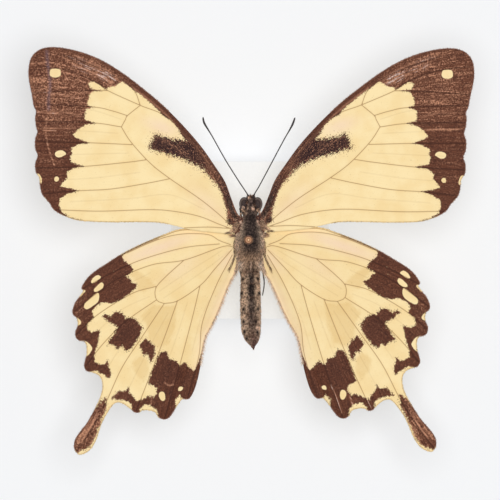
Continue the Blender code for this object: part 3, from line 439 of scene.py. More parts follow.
hindwing = {
    "root": (2.0, -0.5),
    "outline": [
        (1.2, 0.2), (3.0, 1.4), (5.0, 2.2), (9.0, 2.7), (14.0, 2.5), (17.0, 1.6), (20.0, 0.5),
        (23.0, -0.75), (26.0, -2.2), (29.0, -4.0), (31.0, -5.2), (32.6, -6.5), (33.6, -7.8), (34.0, -8.7),
        (33.6, -9.15), (34.35, -10.2), (35.3, -11.4), (35.9, -12.8), (35.9, -13.8), (35.3, -14.4),
        (34.95, -15.3), (35.1, -16.3), (35.55, -17.4), (35.4, -18.6), (34.7, -19.15), (33.7, -19.4),
        (33.35, -20.4), (33.4, -21.9), (33.8, -23.2), (34.0, -24.4), (33.5, -25.3), (32.6, -25.55),
        (31.3, -26.1), (30.55, -27.2), (30.5, -29.0), (31.1, -30.8), (32.1, -32.6), (34.0, -35.6),
        (35.8, -37.7), (37.0, -39.4), (37.25, -41.0), (36.8, -42.0), (36.2, -42.35), (35.0, -42.0),
        (33.8, -41.1), (32.8, -39.6), (32.0, -37.8), (31.3, -36.1), (30.4, -34.6), (29.4, -33.2),
        (28.5, -32.2), (27.7, -31.85), (26.5, -32.2), (25.2, -33.3), (24.6, -33.95), (23.7, -34.15),
        (22.8, -33.68), (21.4, -33.75), (20.3, -34.2), (19.8, -35.2), (18.7, -35.75), (17.6, -35.35),
        (16.8, -34.4), (15.9, -33.1), (15.0, -32.0), (14.6, -31.65), (13.6, -31.75), (12.9, -31.3),
        (12.1, -30.0), (11.5, -28.4), (11.0, -26.6), (10.6, -24.8), (10.0, -21.6), (9.3, -19.2),
        (8.0, -17.0), (6.5, -14.0), (5.2, -11.0), (4.0, -8.4), (2.9, -6.6), (2.35, -5.2), (2.15, -4.0),
        (1.8, -3.0), (1.2, -2.6),
    ],
    "veins": [
        [(3.8, -0.9), (6.0, 0.0), (8.0, 1.2), (12.0, 1.6), (16.0, 1.2), (20.0, 0.0), (24.6, -1.9)],
        [(10.0, 2.4), (14.0, 2.25), (17.0, 1.35), (20.0, 0.25), (23.0, -1.0), (25.6, -2.3)],
        [(6.0, -0.7), (13.0, -1.2), (21.0, -3.1), (27.0, -5.4), (33.7, -8.7)],
        [(3.4, -1.3), (5.5, -1.3), (13.2, -3.7), (20.0, -4.5), (27.7, -7.6), (35.6, -13.2)],
        [(13.2, -3.7), (17.0, -6.9), (19.1, -9.2), (19.0, -11.5), (17.5, -12.3)],
        [(19.1, -8.8), (24.0, -10.1), (31.0, -14.1), (35.3, -17.8)],
        [(19.0, -11.5), (25.2, -15.5), (30.0, -19.9), (33.7, -24.3)],
        [(17.5, -12.3), (22.3, -19.0), (26.5, -25.0), (30.4, -32.5), (34.5, -38.7), (36.7, -41.5)],
        [(3.6, -2.0), (7.0, -5.6), (10.0, -8.8), (14.7, -11.8), (17.5, -12.3)],
        [(14.8, -11.8), (17.2, -17.9), (20.8, -26.5), (24.1, -33.7)],
        [(10.2, -9.0), (12.0, -15.5), (15.2, -26.0), (18.5, -35.4)],
        [(3.5, -3.0), (7.0, -9.2), (10.0, -16.5), (10.9, -23.0), (13.5, -31.4)],
    ],
    "flow": [
        [(1.2, 0.2), (5.0, 2.2), (9.0, 2.7), (14.0, 2.5), (20.0, 0.5), (26.0, -2.2), (31.0, -5.2),
         (38.0, -11.0)],
        [(3.4, -1.3), (5.5, -1.3), (13.2, -3.7), (20.0, -4.5), (27.7, -7.6), (38.0, -15.0)],
        [(3.5, -1.6), (8.0, -3.4), (13.2, -5.8), (19.1, -8.8), (24.0, -10.1), (31.0, -14.1), (38.0, -19.6)],
        [(3.6, -1.8), (9.0, -5.5), (15.0, -9.5), (19.0, -11.5), (25.2, -15.5), (30.0, -19.9), (36.0, -26.5)],
        [(3.6, -2.0), (7.0, -5.6), (10.0, -8.8), (14.7, -11.8), (17.5, -12.6), (22.3, -19.0), (26.5, -25.0),
         (30.4, -32.5), (34.5, -38.7), (38.0, -43.0)],
        [(3.55, -2.4), (6.6, -6.6), (10.2, -10.6), (14.8, -13.6), (17.2, -17.9), (20.8, -26.5),
         (25.0, -36.0)],
        [(3.5, -2.8), (6.0, -7.0), (9.4, -11.5), (12.0, -15.5), (15.2, -26.0), (19.0, -37.0)],
        [(1.2, -2.0), (2.6, -3.2), (4.1, -8.0), (6.5, -14.0), (10.0, -21.6), (11.5, -28.4), (14.6, -38.0)],
    ],
    "folds": [
        [(5.5, -2.0), (9.0, -4.1), (14.0, -7.0), (18.4, -9.8)],
        [(4.0, -2.2), (8.0, -5.1), (14.0, -9.0), (17.6, -11.2)],
        [(8.5, -12.0), (10.4, -16.0), (12.2, -22.0)],
        [(20.0, -6.0), (26.0, -8.8), (31.0, -12.2)],
        [(20.5, -10.8), (26.0, -13.2), (31.6, -17.8)],
        [(20.2, -13.8), (25.0, -18.8), (29.2, -24.6)],
        [(16.8, -14.2), (21.0, -21.4), (25.4, -29.4)],
        [(12.8, -12.2), (16.0, -21.0), (20.5, -31.5)],
    ],
    "dark": {
        "border": {"fray": 0.25, "outline": [
            (25.6, 4.0), (25.6, -2.6), (25.2, -3.5), (24.1, -4.3), (23.4, -5.4), (23.9, -5.85),
            (25.2, -6.5), (24.3, -7.0), (23.9, -7.8), (22.8, -8.2), (23.0, -8.8), (24.4, -10.0),
            (26.2, -11.2), (28.0, -11.85), (29.9, -11.55), (31.3, -12.4), (32.1, -13.4), (31.7, -14.5),
            (32.9, -15.6), (33.3, -16.8), (32.3, -17.6), (30.6, -17.2), (30.9, -18.5), (31.1, -19.8),
            (31.9, -22.0), (31.9, -23.4), (30.9, -24.1), (29.9, -24.2), (29.2, -23.3), (29.1, -24.6),
            (28.7, -25.7), (29.0, -26.8), (29.5, -26.9), (29.9, -26.2), (30.7, -25.9), (31.5, -25.25),
            (32.5, -25.3), (33.2, -26.4), (40.0, -27.0), (40.0, 4.0)]},
        "frontEdge": {"fray": 0.06, "outline": [
            (16.0, 2.1), (18.0, 1.1), (21.0, -0.12), (24.0, -1.42), (26.0, -2.5), (26.0, 0.0), (18.0, 3.0)]},
        "innerEdge": {"fray": 0.12, "outline": [
            (8.6, -19.0), (9.75, -20.2), (10.2, -21.8), (10.9, -24.0), (11.7, -25.8), (12.6, -26.6),
            (11.9, -28.0), (9.6, -28.0)]},
        "discal": {"fray": 0.4, "outline": [
            (22.1, -16.9), (22.6, -16.4), (23.4, -15.2), (24.5, -14.9), (25.3, -15.0), (25.6, -14.4),
            (26.1, -13.9), (27.4, -13.7), (28.4, -14.5), (29.5, -14.1), (29.9, -14.5), (28.6, -15.6),
            (27.7, -16.1), (27.0, -16.7), (27.6, -17.8), (28.8, -19.4), (29.0, -20.0), (27.8, -20.35),
            (27.2, -21.0), (26.2, -20.6), (25.7, -21.6), (24.4, -21.0), (22.6, -18.5)]},
        "inner": {"fray": 0.4, "outline": [
            (19.7, -21.0), (20.6, -19.9), (21.5, -19.2), (22.4, -20.1), (22.7, -20.6), (22.2, -21.7),
            (21.9, -22.6), (21.4, -22.0), (21.0, -22.9), (20.6, -24.1), (19.9, -22.9)]},
        "anal": {"fray": 0.3, "outline": [
            (11.6, -27.6), (12.0, -26.2), (13.2, -25.0), (13.8, -24.3), (14.9, -25.0), (15.5, -23.9),
            (16.8, -23.5), (17.5, -22.0), (18.5, -22.0), (19.4, -23.4), (20.6, -26.4), (21.3, -28.2),
            (20.4, -28.7), (19.5, -29.2), (19.6, -30.4), (20.3, -31.1), (21.2, -30.8), (22.9, -31.6),
            (23.9, -32.0), (24.3, -31.0), (25.2, -30.0), (25.3, -28.9), (25.9, -29.75), (27.3, -29.6),
            (28.3, -30.5), (28.7, -31.1), (27.6, -31.2), (25.6, -31.7), (24.9, -32.4), (24.9, -33.2),
            (25.6, -34.6), (23.2, -35.2), (23.4, -33.5), (22.4, -32.55), (21.4, -32.6), (20.1, -33.4),
            (19.7, -34.6), (20.4, -36.8), (15.4, -35.0), (16.1, -33.0), (16.2, -31.9), (15.1, -30.8),
            (14.7, -31.4), (14.3, -32.8), (11.0, -32.0)]},
        "tail": {"fray": 0.5, "outline": [
            (30.0, -31.0), (30.6, -31.3), (31.9, -32.3), (33.4, -34.0), (35.2, -36.4), (38.0, -38.6),
            (38.2, -41.4), (36.5, -41.75), (35.3, -41.45), (34.3, -40.9), (33.4, -39.9), (32.8, -38.7),
            (32.2, -37.3), (31.5, -35.8), (30.8, -34.5), (30.2, -33.3), (30.1, -32.2)]},
        "tailTip": {"fray": 0.1, "outline": [(36.5, -41.3), (37.0, -41.2), (37.3, -41.9), (36.6, -42.1)]},
    },
    "pale": {
        "upper": [(30.0, -6.55), (30.5, -6.1), (31.15, -6.3), (31.8, -6.9), (32.05, -7.45), (31.8, -7.75),
                  (31.2, -7.55), (30.55, -7.1)],
        "second": [(29.5, -8.05), (29.8, -7.6), (30.3, -7.8), (31.05, -8.45), (31.5, -9.0), (31.45, -9.4),
                   (30.95, -9.45), (30.2, -9.1), (29.7, -8.7)],
        "third": [(30.6, -9.7), (31.2, -9.8), (32.9, -11.2), (33.5, -11.8), (33.6, -12.5), (33.3, -12.85),
                  (32.6, -12.75), (31.0, -11.7), (30.5, -10.7)],
        "analUpper": [(14.3, -29.3), (15.0, -29.1), (15.35, -29.6), (15.3, -29.95), (14.9, -30.0),
                      (14.5, -29.8)],
        "analLower": [(18.1, -30.3), (18.5, -29.95), (19.0, -30.1), (19.3, -30.7), (19.2, -31.3),
                      (18.8, -31.9), (18.3, -31.9), (18.0, -31.3)],
        "firstBay": [(33.2, -9.1), (34.4, -8.9), (35.0, -10.2), (34.3, -10.35), (33.7, -9.8)],
        "secondBay": [(34.6, -14.9), (35.4, -14.4), (35.6, -16.0), (34.6, -16.0), (34.3, -15.4)],
        "thirdBay": [(33.3, -19.4), (34.6, -19.3), (34.4, -22.3), (33.2, -22.2), (32.4, -21.2),
                     (32.3, -20.6)],
        "speckUpper": [(27.3, -5.25), (27.5, -5.25), (27.5, -5.45), (27.3, -5.45)],
        "speckLower": [(27.5, -6.8), (27.7, -6.8), (27.7, -7.0), (27.5, -7.0)],
    },
    "streaks": [
        ("rub", "right", 0.1, 1.6, [(16.2, -29.0), (17.4, -31.9), (18.3, -34.6)]),
        ("rub", "right", 0.09, 1.6, [(19.9, -31.0), (20.6, -33.1)]),
        ("rub", "right", 0.09, 1.5, [(23.3, -31.7), (24.2, -33.6)]),
        ("rub", "left", 0.1, 1.3, [(16.0, -28.6), (17.0, -28.9), (18.0, -28.2)]),
        ("rub", "left", 0.08, 1.2, [(20.6, -30.6), (21.0, -32.4)]),
        ("rub", "both", 0.12, 0.9, [(32.0, -34.4), (33.8, -37.2), (35.6, -39.8)]),
        ("rub", "both", 0.1, 0.8, [(33.0, -34.6), (35.2, -37.8), (36.6, -39.8)]),
    ],
    "worn": [(34.5, -13.0, 1.2, 5.0, 0.0, 0.35), (33.8, -36.8, 6.5, 2.4, -55.0, 1.0)],
    "purple": [(17.0, -26.0, 3.5, 3.5, 0.0, 0.25), (25.5, -17.5, 4.0, 3.0, -45.0, 0.25)],
    "ochre": [(13.0, -10.0, 18.0, 13.0, -40.0, 0.36), (13.0, -20.0, 1.0, 5.0, 10.0, 0.5),
              (12.5, -15.0, 1.2, 3.0, 15.0, 0.4)],
    "fields": {
        "front": [(19.1, -8.6), (20.2, -7.2), (23.3, -5.2), (24.4, -6.1), (22.9, -7.9), (22.9, -9.4),
                  (21.6, -9.9)],
        "middle": [(14.9, -12.6), (17.4, -12.8), (19.8, -12.4), (22.3, -14.6), (21.2, -16.6), (20.9, -19.2),
                   (19.3, -21.4), (16.8, -20.4), (15.4, -17.0)],
        "rear": [(21.1, -23.7), (22.4, -22.3), (24.4, -23.9), (23.8, -26.3), (22.2, -28.0), (21.1, -26.3)]},
    "pink": [(6.0, -12.5, 6.5, 1.6, -66.0, 0.65), (9.6, -20.0, 5.0, 1.4, -78.0, 0.6),
             (4.5, -4.0, 3.0, 1.2, -50.0, 0.7), (11.5, -26.0, 3.5, 0.9, -70.0, 0.6),
             (18.5, -1.2, 8.0, 1.3, -20.0, 1.0), (14.0, -5.5, 4.5, 1.6, -35.0, 0.4)],
}


def leftPlace(points, seat):
    # where points of the right wing come on the mirror image of the left one
    points = np.asarray(points, float)
    turn = math.radians(seat["turn"])
    x = (points[..., 0] - seat["pivot"][0] + seat["shift"][0]) * seat["scale"]
    y = (points[..., 1] - seat["pivot"][1] + seat["shift"][1]) * seat["scale"]
    swing = np.maximum(0.0, tailSwing["from"] - points[..., 1]) / tailSwing["length"]
    across = seat["pivot"][0] + x * math.cos(turn) - y * math.sin(turn) + seat["swing"][0] * swing
    along = seat["pivot"][1] + x * math.sin(turn) + y * math.cos(turn) + seat["swing"][1] * swing
    return np.stack((across, along), -1)


def placed(kind, side):
    # what puts points of a plan on the right wing, or on the left one's mirror image
    return (lambda points: leftPlace(points, leftSeats[kind])) if side < 0.0 else np.asarray


def wingHeight(points, level):
    # height of a wing's middle surface: it rises outwards, and the tail and the inner edge bend down
    x, y = points[:, 0], points[:, 1]
    rise = wingForm["rise"] * (x - wingForm["riseFrom"])
    droop = wingForm["tailDroop"] * np.maximum(0.0, wingForm["tailFrom"] - y) ** 2
    behind = np.maximum(0.0, -y - wingForm["foldFrom"])
    fromEdge = np.maximum(0.0, x - wingForm["foldFrom"] - wingForm["foldSlope"] * behind)
    ease = np.minimum(1.0, behind / wingForm["foldEase"])
    fold = wingForm["fold"] * np.exp(-fromEdge / wingForm["foldWidth"]) * ease
    return wingForm["height"] + level + rise - droop - fold


def acrossFlow(points, lines):
    # how many flow lines lie in front of each point, with its share of the way to the next one
    gaps = np.empty((len(lines), len(points)))
    passed = np.empty((len(lines), len(points)), bool)
    for number, line in enumerate(lines):
        nearest = np.full(len(points), far)
        for start, end in zip(line, line[1:]):
            along, away = end - start, points - start
            reach = np.clip((away @ along) / float(along @ along), 0.0, 1.0)
            gap = ((away - reach[:, None] * along) ** 2).sum(1)
            behind = along[0] * away[:, 1] - along[1] * away[:, 0] < 0.0
            passed[number] = np.where(gap < nearest, behind, passed[number])
            nearest = np.minimum(nearest, gap)
        gaps[number] = np.sqrt(nearest)
    band = np.clip(passed.sum(0) - 1, 0, len(lines) - 2)
    every = np.arange(len(points))
    front, rear = gaps[band, every], gaps[band + 1, every]
    return band + front / np.maximum(front + rear, 1e-6)


def evenField(edge):
    # points in staggered rows inside the edge
    spacing = wingForm["spacing"]
    low, high = edge.min(0), edge.max(0)
    rows = []
    for row, y in enumerate(np.arange(low[1], high[1], spacing * math.sqrt(3.0) / 2.0)):
        x = np.arange(low[0] + 0.5 * spacing * (row % 2), high[0], spacing)
        rows.append(np.column_stack((x, np.full(len(x), y))))
    field = np.concatenate(rows)
    field = field[insideOutline(field, edge)]
    return field[chainDistance(field, edge, True) > wingForm["clearance"] * spacing]


def wingSheet(outline, veins):
    # the flat net of a wing: its edge, its veins with two flanks on either side, and an even field between
    edge = smoothPath(outline, wingForm["edgeStep"], closed=True)
    veinLines = [smoothPath(vein, wingForm["veinStep"]) for vein in veins]
    points, links, count = [edge], [], len(edge)
    for line in veinLines:
        line = line[insideOutline(line, edge)]
        links += [(count + index, count + index + 1) for index in range(len(line) - 1)]
        points.append(line)
        count += len(line)
    chains = [smoothPath(vein, wingForm["steps"]["net"]) for vein in veins]
    for number, line in enumerate(veinLines):
        others = chains[:number] + chains[number + 1:]
        for offset in wingForm["flanks"]:
            for side in (-1.0, 1.0):
                flank = line - offsets(line)[1] * side * offset
                keep = insideOutline(flank, edge) & (chainDistance(flank, edge, True) > offset)
                points.append(flank[keep & (nearestLine(flank, others) > offset)])
    field = evenField(edge)
    clearance = wingForm["flanks"][-1] + wingForm["clearance"] * wingForm["spacing"]
    points.append(field[nearestLine(field, chains) > clearance])
    flat = [Vector((float(x), float(y))) for x, y in np.concatenate(points)]
    corners, _, faces, _, _, _ = delaunay_2d_cdt(flat, links, [list(range(len(edge)))], 1, 1e-4)
    return np.array([tuple(corner) for corner in corners]), faces, edge


def wingFacts(flat, edge, kind, side, plan):
    # what the finish reads at each point: areas, distances, the scales' flow, streaks and soft places
    place, steps = placed(kind, side), wingForm["steps"]
    facts = {"dark": np.full(len(flat), -far), "fray": np.zeros(len(flat))}
    for area in plan["dark"].values():
        inside = signedDistance(flat, place(area["outline"]))
        facts["fray"] = np.where(inside > facts["dark"], area["fray"], facts["fray"])
        facts["dark"] = np.maximum(facts["dark"], inside)
    spots = [smoothPath(place(spot), steps["spot"], closed=True) for spot in plan["pale"].values()]
    facts["pale"] = deepestIn(flat, spots)
    facts["veinGap"] = nearestLine(flat, [smoothPath(place(vein), steps["vein"]) for vein in plan["veins"]])
    facts["foldGap"] = nearestLine(flat, [smoothPath(place(fold), steps["fold"]) for fold in plan["folds"]])
    facts["edgeGap"] = chainDistance(flat, edge, True)
    reach = np.linalg.norm(flat - place(plan["root"]), axis=1)
    across = acrossFlow(flat, [smoothPath(place(line), steps["flow"]) for line in plan["flow"]])
    apart = np.full(len(flat), side * wingForm["sideShift"])  # so that no pattern is the same on both sides
    facts["flow"] = np.column_stack((reach, across * wingForm["bandWidth"], apart))
    facts["field"] = deepestIn(flat, [place(outline) for outline in plan["fields"].values()])
    facts["rub"] = facts["crease"] = np.zeros(len(flat))
    for mark, where, width, strength, path in plan["streaks"]:
        if where in ("both", "left" if side < 0.0 else "right"):
            gap = chainDistance(flat, smoothPath(place(path), steps["streak"]))
            facts[mark] = np.maximum(facts[mark], strength * np.exp(-(gap / width) ** 2))
    for key in ("worn", "purple", "ochre", "pink"):
        facts[key] = softPlaces(flat, [(*place(spot[:2]), *spot[2:]) for spot in plan[key]])
    facts["curled"] = facts["worn"] * wingForm["curls"][side]
    return facts


def wingMap(flat, top, rim, side):
    # the bake map: the upper side and the under side next to each other, with the rim pushed outwards
    margin = wingForm["mapMargin"]
    low, high = flat.min(0), flat.max(0)
    wide = high - low
    stacked = np.array((0.0, 1.0)) if wide[0] > wide[1] else np.array((1.0, 0.0))
    shift = stacked * (wide + 2.0 * margin)
    size = float((wide + shift).max()) + 2.0 * margin
    upper = (flat - low + margin) / size
    lower = (flat - low + margin + shift) / size
    places = [upper[index] for face in top for index in (face if side > 0.0 else face[::-1])]
    places += [lower[index] for face in top for index in (face[::-1] if side > 0.0 else face)]
    for start, end in rim:
        along = flat[end] - flat[start]
        outward = np.array((along[1], -along[0])) / max(1e-6, float(np.linalg.norm(along)))
        push = outward * wingForm["rimPush"] / size
        wall = [upper[end], upper[start], upper[start] + push, upper[end] + push]
        places += wall if side > 0.0 else wall[::-1]
    return places


def makeWing(kind, sideName, side, plan, material):
    place = placed(kind, side)
    flat, faces, edge = wingSheet(place(plan["outline"]), [place(vein) for vein in plan["veins"]])
    facts = wingFacts(flat, edge, kind, side, plan)
    veinGap, foldGap, edgeGap = facts["veinGap"], facts["foldGap"], facts["edgeGap"]
    half = 0.5 * (wingForm["marginThickness"] + (wingForm["membrane"] - wingForm["marginThickness"])
                  * np.minimum(1.0, edgeGap / wingForm["marginEase"]))
    half += wingForm["veinRise"] * np.exp(-(veinGap / wingForm["veinWidth"]) ** 2) * np.minimum(1.0, edgeGap)
    onVein, onFold = (np.exp(-(gap / wingForm["rippleWidth"]) ** 2) for gap in (veinGap, foldGap))
    middle = wingHeight(flat, levels[kind]) + wingForm["ripple"] * (onVein - onFold)
    corners = np.concatenate([np.column_stack((flat[:, 0] * side, flat[:, 1], height))
                              for height in (middle + half, middle - half)])
    count, top = len(flat), np.array(faces)
    links = dict.fromkeys(link for face in faces for link in zip(face, face[1:] + face[:1]))
    rim = [(start, end) for start, end in links if (end, start) not in links]
    walls = [(end, start, start + count, end + count) for start, end in rim]
    allFaces = [tuple(face) for face in top] + [tuple(face[::-1]) for face in top + count] + walls
    if side < 0.0:
        allFaces = [face[::-1] for face in allFaces]
    piece = pieceFrom(kind + "Skin_" + sideName, corners, allFaces, material)
    for key, values in facts.items():
        store(piece, key, np.concatenate([values, values]))
    store(piece, "under", np.repeat([0.0, 1.0], count))
    storeMap(piece, wingMap(flat, top, rim, side))
    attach(piece, "root")
    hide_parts(kind + "_" + sideName)


wingColours = {
    "cream": screen(252, 229, 177), "creamDeep": screen(244, 214, 155), "ochre": screen(226, 190, 126),
    "pink": screen(246, 217, 192), "vein": screen(146, 104, 66), "brown": screen(106, 62, 44),
    "brownDeep": screen(68, 37, 27), "purple": screen(46, 25, 26), "rubbed": screen(206, 148, 116),
    "rubbedPale": screen(236, 208, 196), "edge": screen(92, 58, 48), "crease": screen(122, 106, 118),
    "underBrown": screen(142, 104, 78), "underCream": screen(244, 224, 180), "fringe": screen(158, 112, 92),
}


def wingFinish():
    finish = Finish("wingScales")
    colours = wingColours
    dark, pale = finish.attribute("dark"), finish.attribute("pale")
    fray, rub, worn = finish.attribute("fray"), finish.attribute("rub"), finish.attribute("worn")
    veinGap, foldGap, edgeGap = (finish.attribute(name) for name in ("veinGap", "foldGap", "edgeGap"))
    flow = finish.attribute("flow", "Vector")
    coarse, fine = finish.noise(1.6, 2.0), finish.noise(3.6, 3.0, 0.7)
    grain = finish.noise(4.6, 2.0, 0.6, finish.vector("ADD", finish.place, (31.0, 17.0, 5.0)))
    dust = finish.noise(10.0, 1.0)
    fibres = finish.noise(1.0, 3.0, 0.6, finish.stretched(flow, (0.22, 2.6, 1.0)))
    scratches = finish.noise(1.0, 2.0, 0.7, finish.stretched(flow, (0.5, 3.8, 1.0)))

    # scales lie in rows and grains, so the dark areas end in feathered edges with loose specks beyond them
    rows = finish.noise(1.0, 2.0, 0.6, finish.stretched(flow, (1.1, 3.2, 1.0)))
    edgeOfDark = dark + (coarse - 0.5) * fray * 1.6 + (rows - 0.5) * fray * 3.0 + (fine - 0.5) * fray * 3.6
    isDark = edgeOfDark.above(-0.08, 0.08)
    specks = (grain + dark * 0.085 / fray).above(0.53, 0.57) * dark.above(-1.6, -1.2)
    isDark = isDark.maths("MAXIMUM", specks)
    isPale = (pale + (fine - 0.5) * 0.25).above(-0.04, 0.06)
    isDark = isDark * (1.0 - isPale)

    cream = finish.mix(finish.noise(0.22, 3.0).above(0.35, 0.7) * 0.7, colours["cream"], colours["creamDeep"])
    cream = finish.mix(fibres.above(0.5, 0.75) * 0.3, cream, colours["creamDeep"])
    cream = finish.mix(finish.attribute("pink") * (0.45 + fine * 0.6), cream, colours["pink"])
    ochre = (finish.attribute("field") + (rows - 0.5) * 0.8).above(-0.4, 0.5) * 0.42
    cream = finish.mix(ochre + finish.attribute("ochre") * rows, cream, colours["ochre"])
    cream = finish.mix(foldGap.below(0.04, 0.2) * 0.13, cream, colours["vein"])
    # painted shade: a faint ochre band beside each vein, standing in for the shade of the raised veins on the
    # membrane
    cream = finish.mix(veinGap.below(0.05, 0.4) * 0.16, cream, colours["ochre"])
    cream = finish.mix(veinGap.below(0.03, 0.12) * 0.68, cream, colours["vein"])
    cream = finish.mix(grain.above(0.66, 0.72) * 0.35, cream, colours["vein"])

    tanSpecks, flecks = grain.above(0.54, 0.64), fine.above(0.5, 0.58)
    strokes = scratches.above(0.5, 0.6)
    lines = finish.noise(1.0, 2.0, 0.6, finish.stretched(flow, (0.13, 1.8, 1.0))).above(0.53, 0.6)
    net = finish.noise(1.0, 2.0, 0.6, finish.stretched(flow, (0.4, 2.2, 1.0))).above(0.52, 0.58)
    purple = finish.attribute("purple")
    brown = finish.mix((fibres * 0.3 + fine * 0.7).above(0.34, 0.62), colours["brownDeep"], colours["brown"])
    brown = finish.mix(purple * grain.below(0.54, 0.68), brown, colours["purple"])
    brown = finish.mix(edgeGap.below(0.08, 0.36) * 0.6, brown, colours["edge"])
    brown = finish.mix(strokes * flecks * (0.15 + worn * 0.2), brown, colours["rubbed"])
    brown = finish.mix(purple.above(0.3, 0.9) * grain.above(0.57, 0.68) * 0.6, brown, colours["rubbed"])
    rubbed = worn * (lines * (0.1 + flecks * 1.3) + strokes * flecks * 0.6 + tanSpecks * 0.3)
    rubbed = rubbed + rub * (0.4 + strokes * 0.4 + tanSpecks * 0.3)
    brown = finish.mix(rubbed.maths("MINIMUM", 0.9), brown, colours["rubbed"])
    brown = finish.mix(veinGap.below(0.06, 0.24) * 0.75, brown, colours["brownDeep"])
    brown = finish.mix(rub.above(1.0, 1.4) * fine.above(0.4, 0.55) * 0.9, brown, colours["rubbedPale"])
    curls = (finish.noise(1.4, 1.0) - 0.5).maths("ABSOLUTE").below(0.03, 0.09)
    curled = finish.attribute("curled").above(0.2, 1.0) * coarse.above(0.3, 0.55)
    brown = finish.mix(curled * curls * (0.12 + flecks * 0.85), brown, colours["rubbed"])
    brown = finish.mix(worn.above(0.95, 1.5) * net * (0.3 + flecks * 0.6), brown, colours["rubbedPale"])
    brown = finish.mix(finish.attribute("crease") * (0.25 + flecks * 0.35), brown, colours["crease"])

    under = finish.attribute("under")
    cream = finish.mix(under * 0.8, cream, colours["underCream"])
    brown = finish.mix(under * 0.55, brown, colours["underBrown"])
    colour = finish.mix(isDark, cream, brown)
    height = dust * 0.6 + fibres * 0.8 + scratches * 0.4
    roughness = 0.66 + (1.0 - isDark) * 0.14
    return finish.finished(colour, roughness, height, 0.03, 0.5, **{"Specular IOR Level": 0.12})


wingMaterial = wingFinish()
for kind, plan in (("forewing", forewing), ("hindwing", hindwing)):
    for sideName, side in bothSides:
        makeWing(kind, sideName, side, plan, wingMaterial)
print("wings made")


# Body: one skin from the head to the abdomen's tip, with the marks that the coat repeats

bodyForm = {
    "front": 9.0, "rear": -21.9, "rings": 310, "sides": 96, "smoothing": 5,
    "halfWidth": {-21.9: 0.05, -21.7: 0.2, -21.2: 0.48, -20.6: 1.0, -20.0: 1.4, -19.0: 1.7, -18.0: 1.88,
                  -15.0: 2.0, -11.4: 2.0, -8.0: 1.88, -5.4: 1.84, -4.5: 1.62, -4.0: 1.68, -3.4: 1.88,
                  -2.4: 2.1, -1.2: 2.32, 0.2: 2.4, 1.6: 2.4, 3.0: 2.26, 4.0: 1.95, 4.7: 1.5, 5.0: 1.2,
                  5.2: 1.2, 5.5: 1.32, 5.75: 1.15, 5.95: 0.84, 6.2: 0.92, 6.6: 1.12, 7.4: 1.2, 8.1: 1.08,
                  8.55: 0.82, 8.85: 0.5, 9.0: 0.06},
    "tallness": {-21.9: 1.06, -4.6: 1.06, -3.4: 1.1, 2.5: 1.2, 5.0: 1.14, 6.2: 1.16, 7.0: 1.22, 9.0: 1.2},
    "height": {-21.9: 22.35, -17.0: 23.2, -11.0: 24.1, -4.5: 24.7, -1.0: 24.66, 2.5: 24.55, 5.0: 24.3,
               9.0: 24.3},
    "bend": {-21.9: 0.72, -21.0: 0.55, -20.0: 0.38, -18.0: 0.2, -12.0: 0.1, -4.5: 0.05, 5.0: 0.1, 9.0: 0.15},
    "endWidth": 0.03, "waist": -4.2, "neck": 6.0, "face": 7.8,
    # the abdomen's rings: each joint is sunk, with a soft swelling in front of it
    "joints": (-6.3, -8.6, -11.4, -14.6, -16.9, -19.0), "jointDepth": 0.09, "jointWidth": 0.14,
    "swelling": {"height": 0.03, "ahead": 0.45, "length": 0.5},
    # the fold along the abdomen's sides: its level is a share of the half width, below the middle
    "sideFold": {"level": 0.45, "width": 0.09, "depth": 0.07, "front": -4.8, "rear": -20.5, "ease": 0.8},
    "hairLength": {-5.6: 0.9, -4.6: 1.35, -1.0: 1.0, 2.0: 0.6, 5.5: 0.6, 6.0: 0.45, 8.0: 0.4, 9.0: 0.35},
    "hairEnds": (-5.8, 8.9), "scaleEnds": (-21.8, -4.2),
    # raised or sunk places seen from above: x, y, half length along y, half width, height
    "relief": ((0.0, 3.4, 2.4, 0.22, -0.09), (1.2, 3.2, 2.2, 0.6, 0.1), (-1.2, 3.2, 2.2, 0.6, 0.1),
               (0.0, -2.9, 0.8, 0.9, 0.26), (0.0, -1.9, 0.22, 1.4, -0.12), (0.0, -3.8, 0.25, 1.4, -0.14),
               (2.1, 2.8, 1.2, 0.6, 0.22), (-2.1, 2.8, 1.2, 0.6, 0.22), (0.0, 7.5, 0.5, 0.35, -0.08),
               (0.5, 6.4, 0.4, 0.35, 0.08), (-0.3, 6.4, 0.4, 0.35, 0.08), (0.0, 5.4, 0.5, 0.15, -0.12)),
}
bodyColours = {"thorax": screen(92, 72, 64), "olive": screen(218, 192, 168), "tan": screen(200, 164, 136),
               "rear": screen(208, 170, 138), "abdomen": screen(208, 176, 148), "stripe": screen(44, 30, 26),
               "greyStripe": screen(88, 70, 62), "tip": screen(96, 62, 54), "patch": screen(104, 72, 56),
               "dot": screen(30, 18, 16), "pale": screen(250, 212, 186), "head": screen(68, 49, 44),
               "line": screen(88, 60, 46), "belly": screen(226, 204, 158), "black": screen(66, 52, 48),
               "streak": screen(112, 78, 60), "fur": screen(246, 230, 214)}
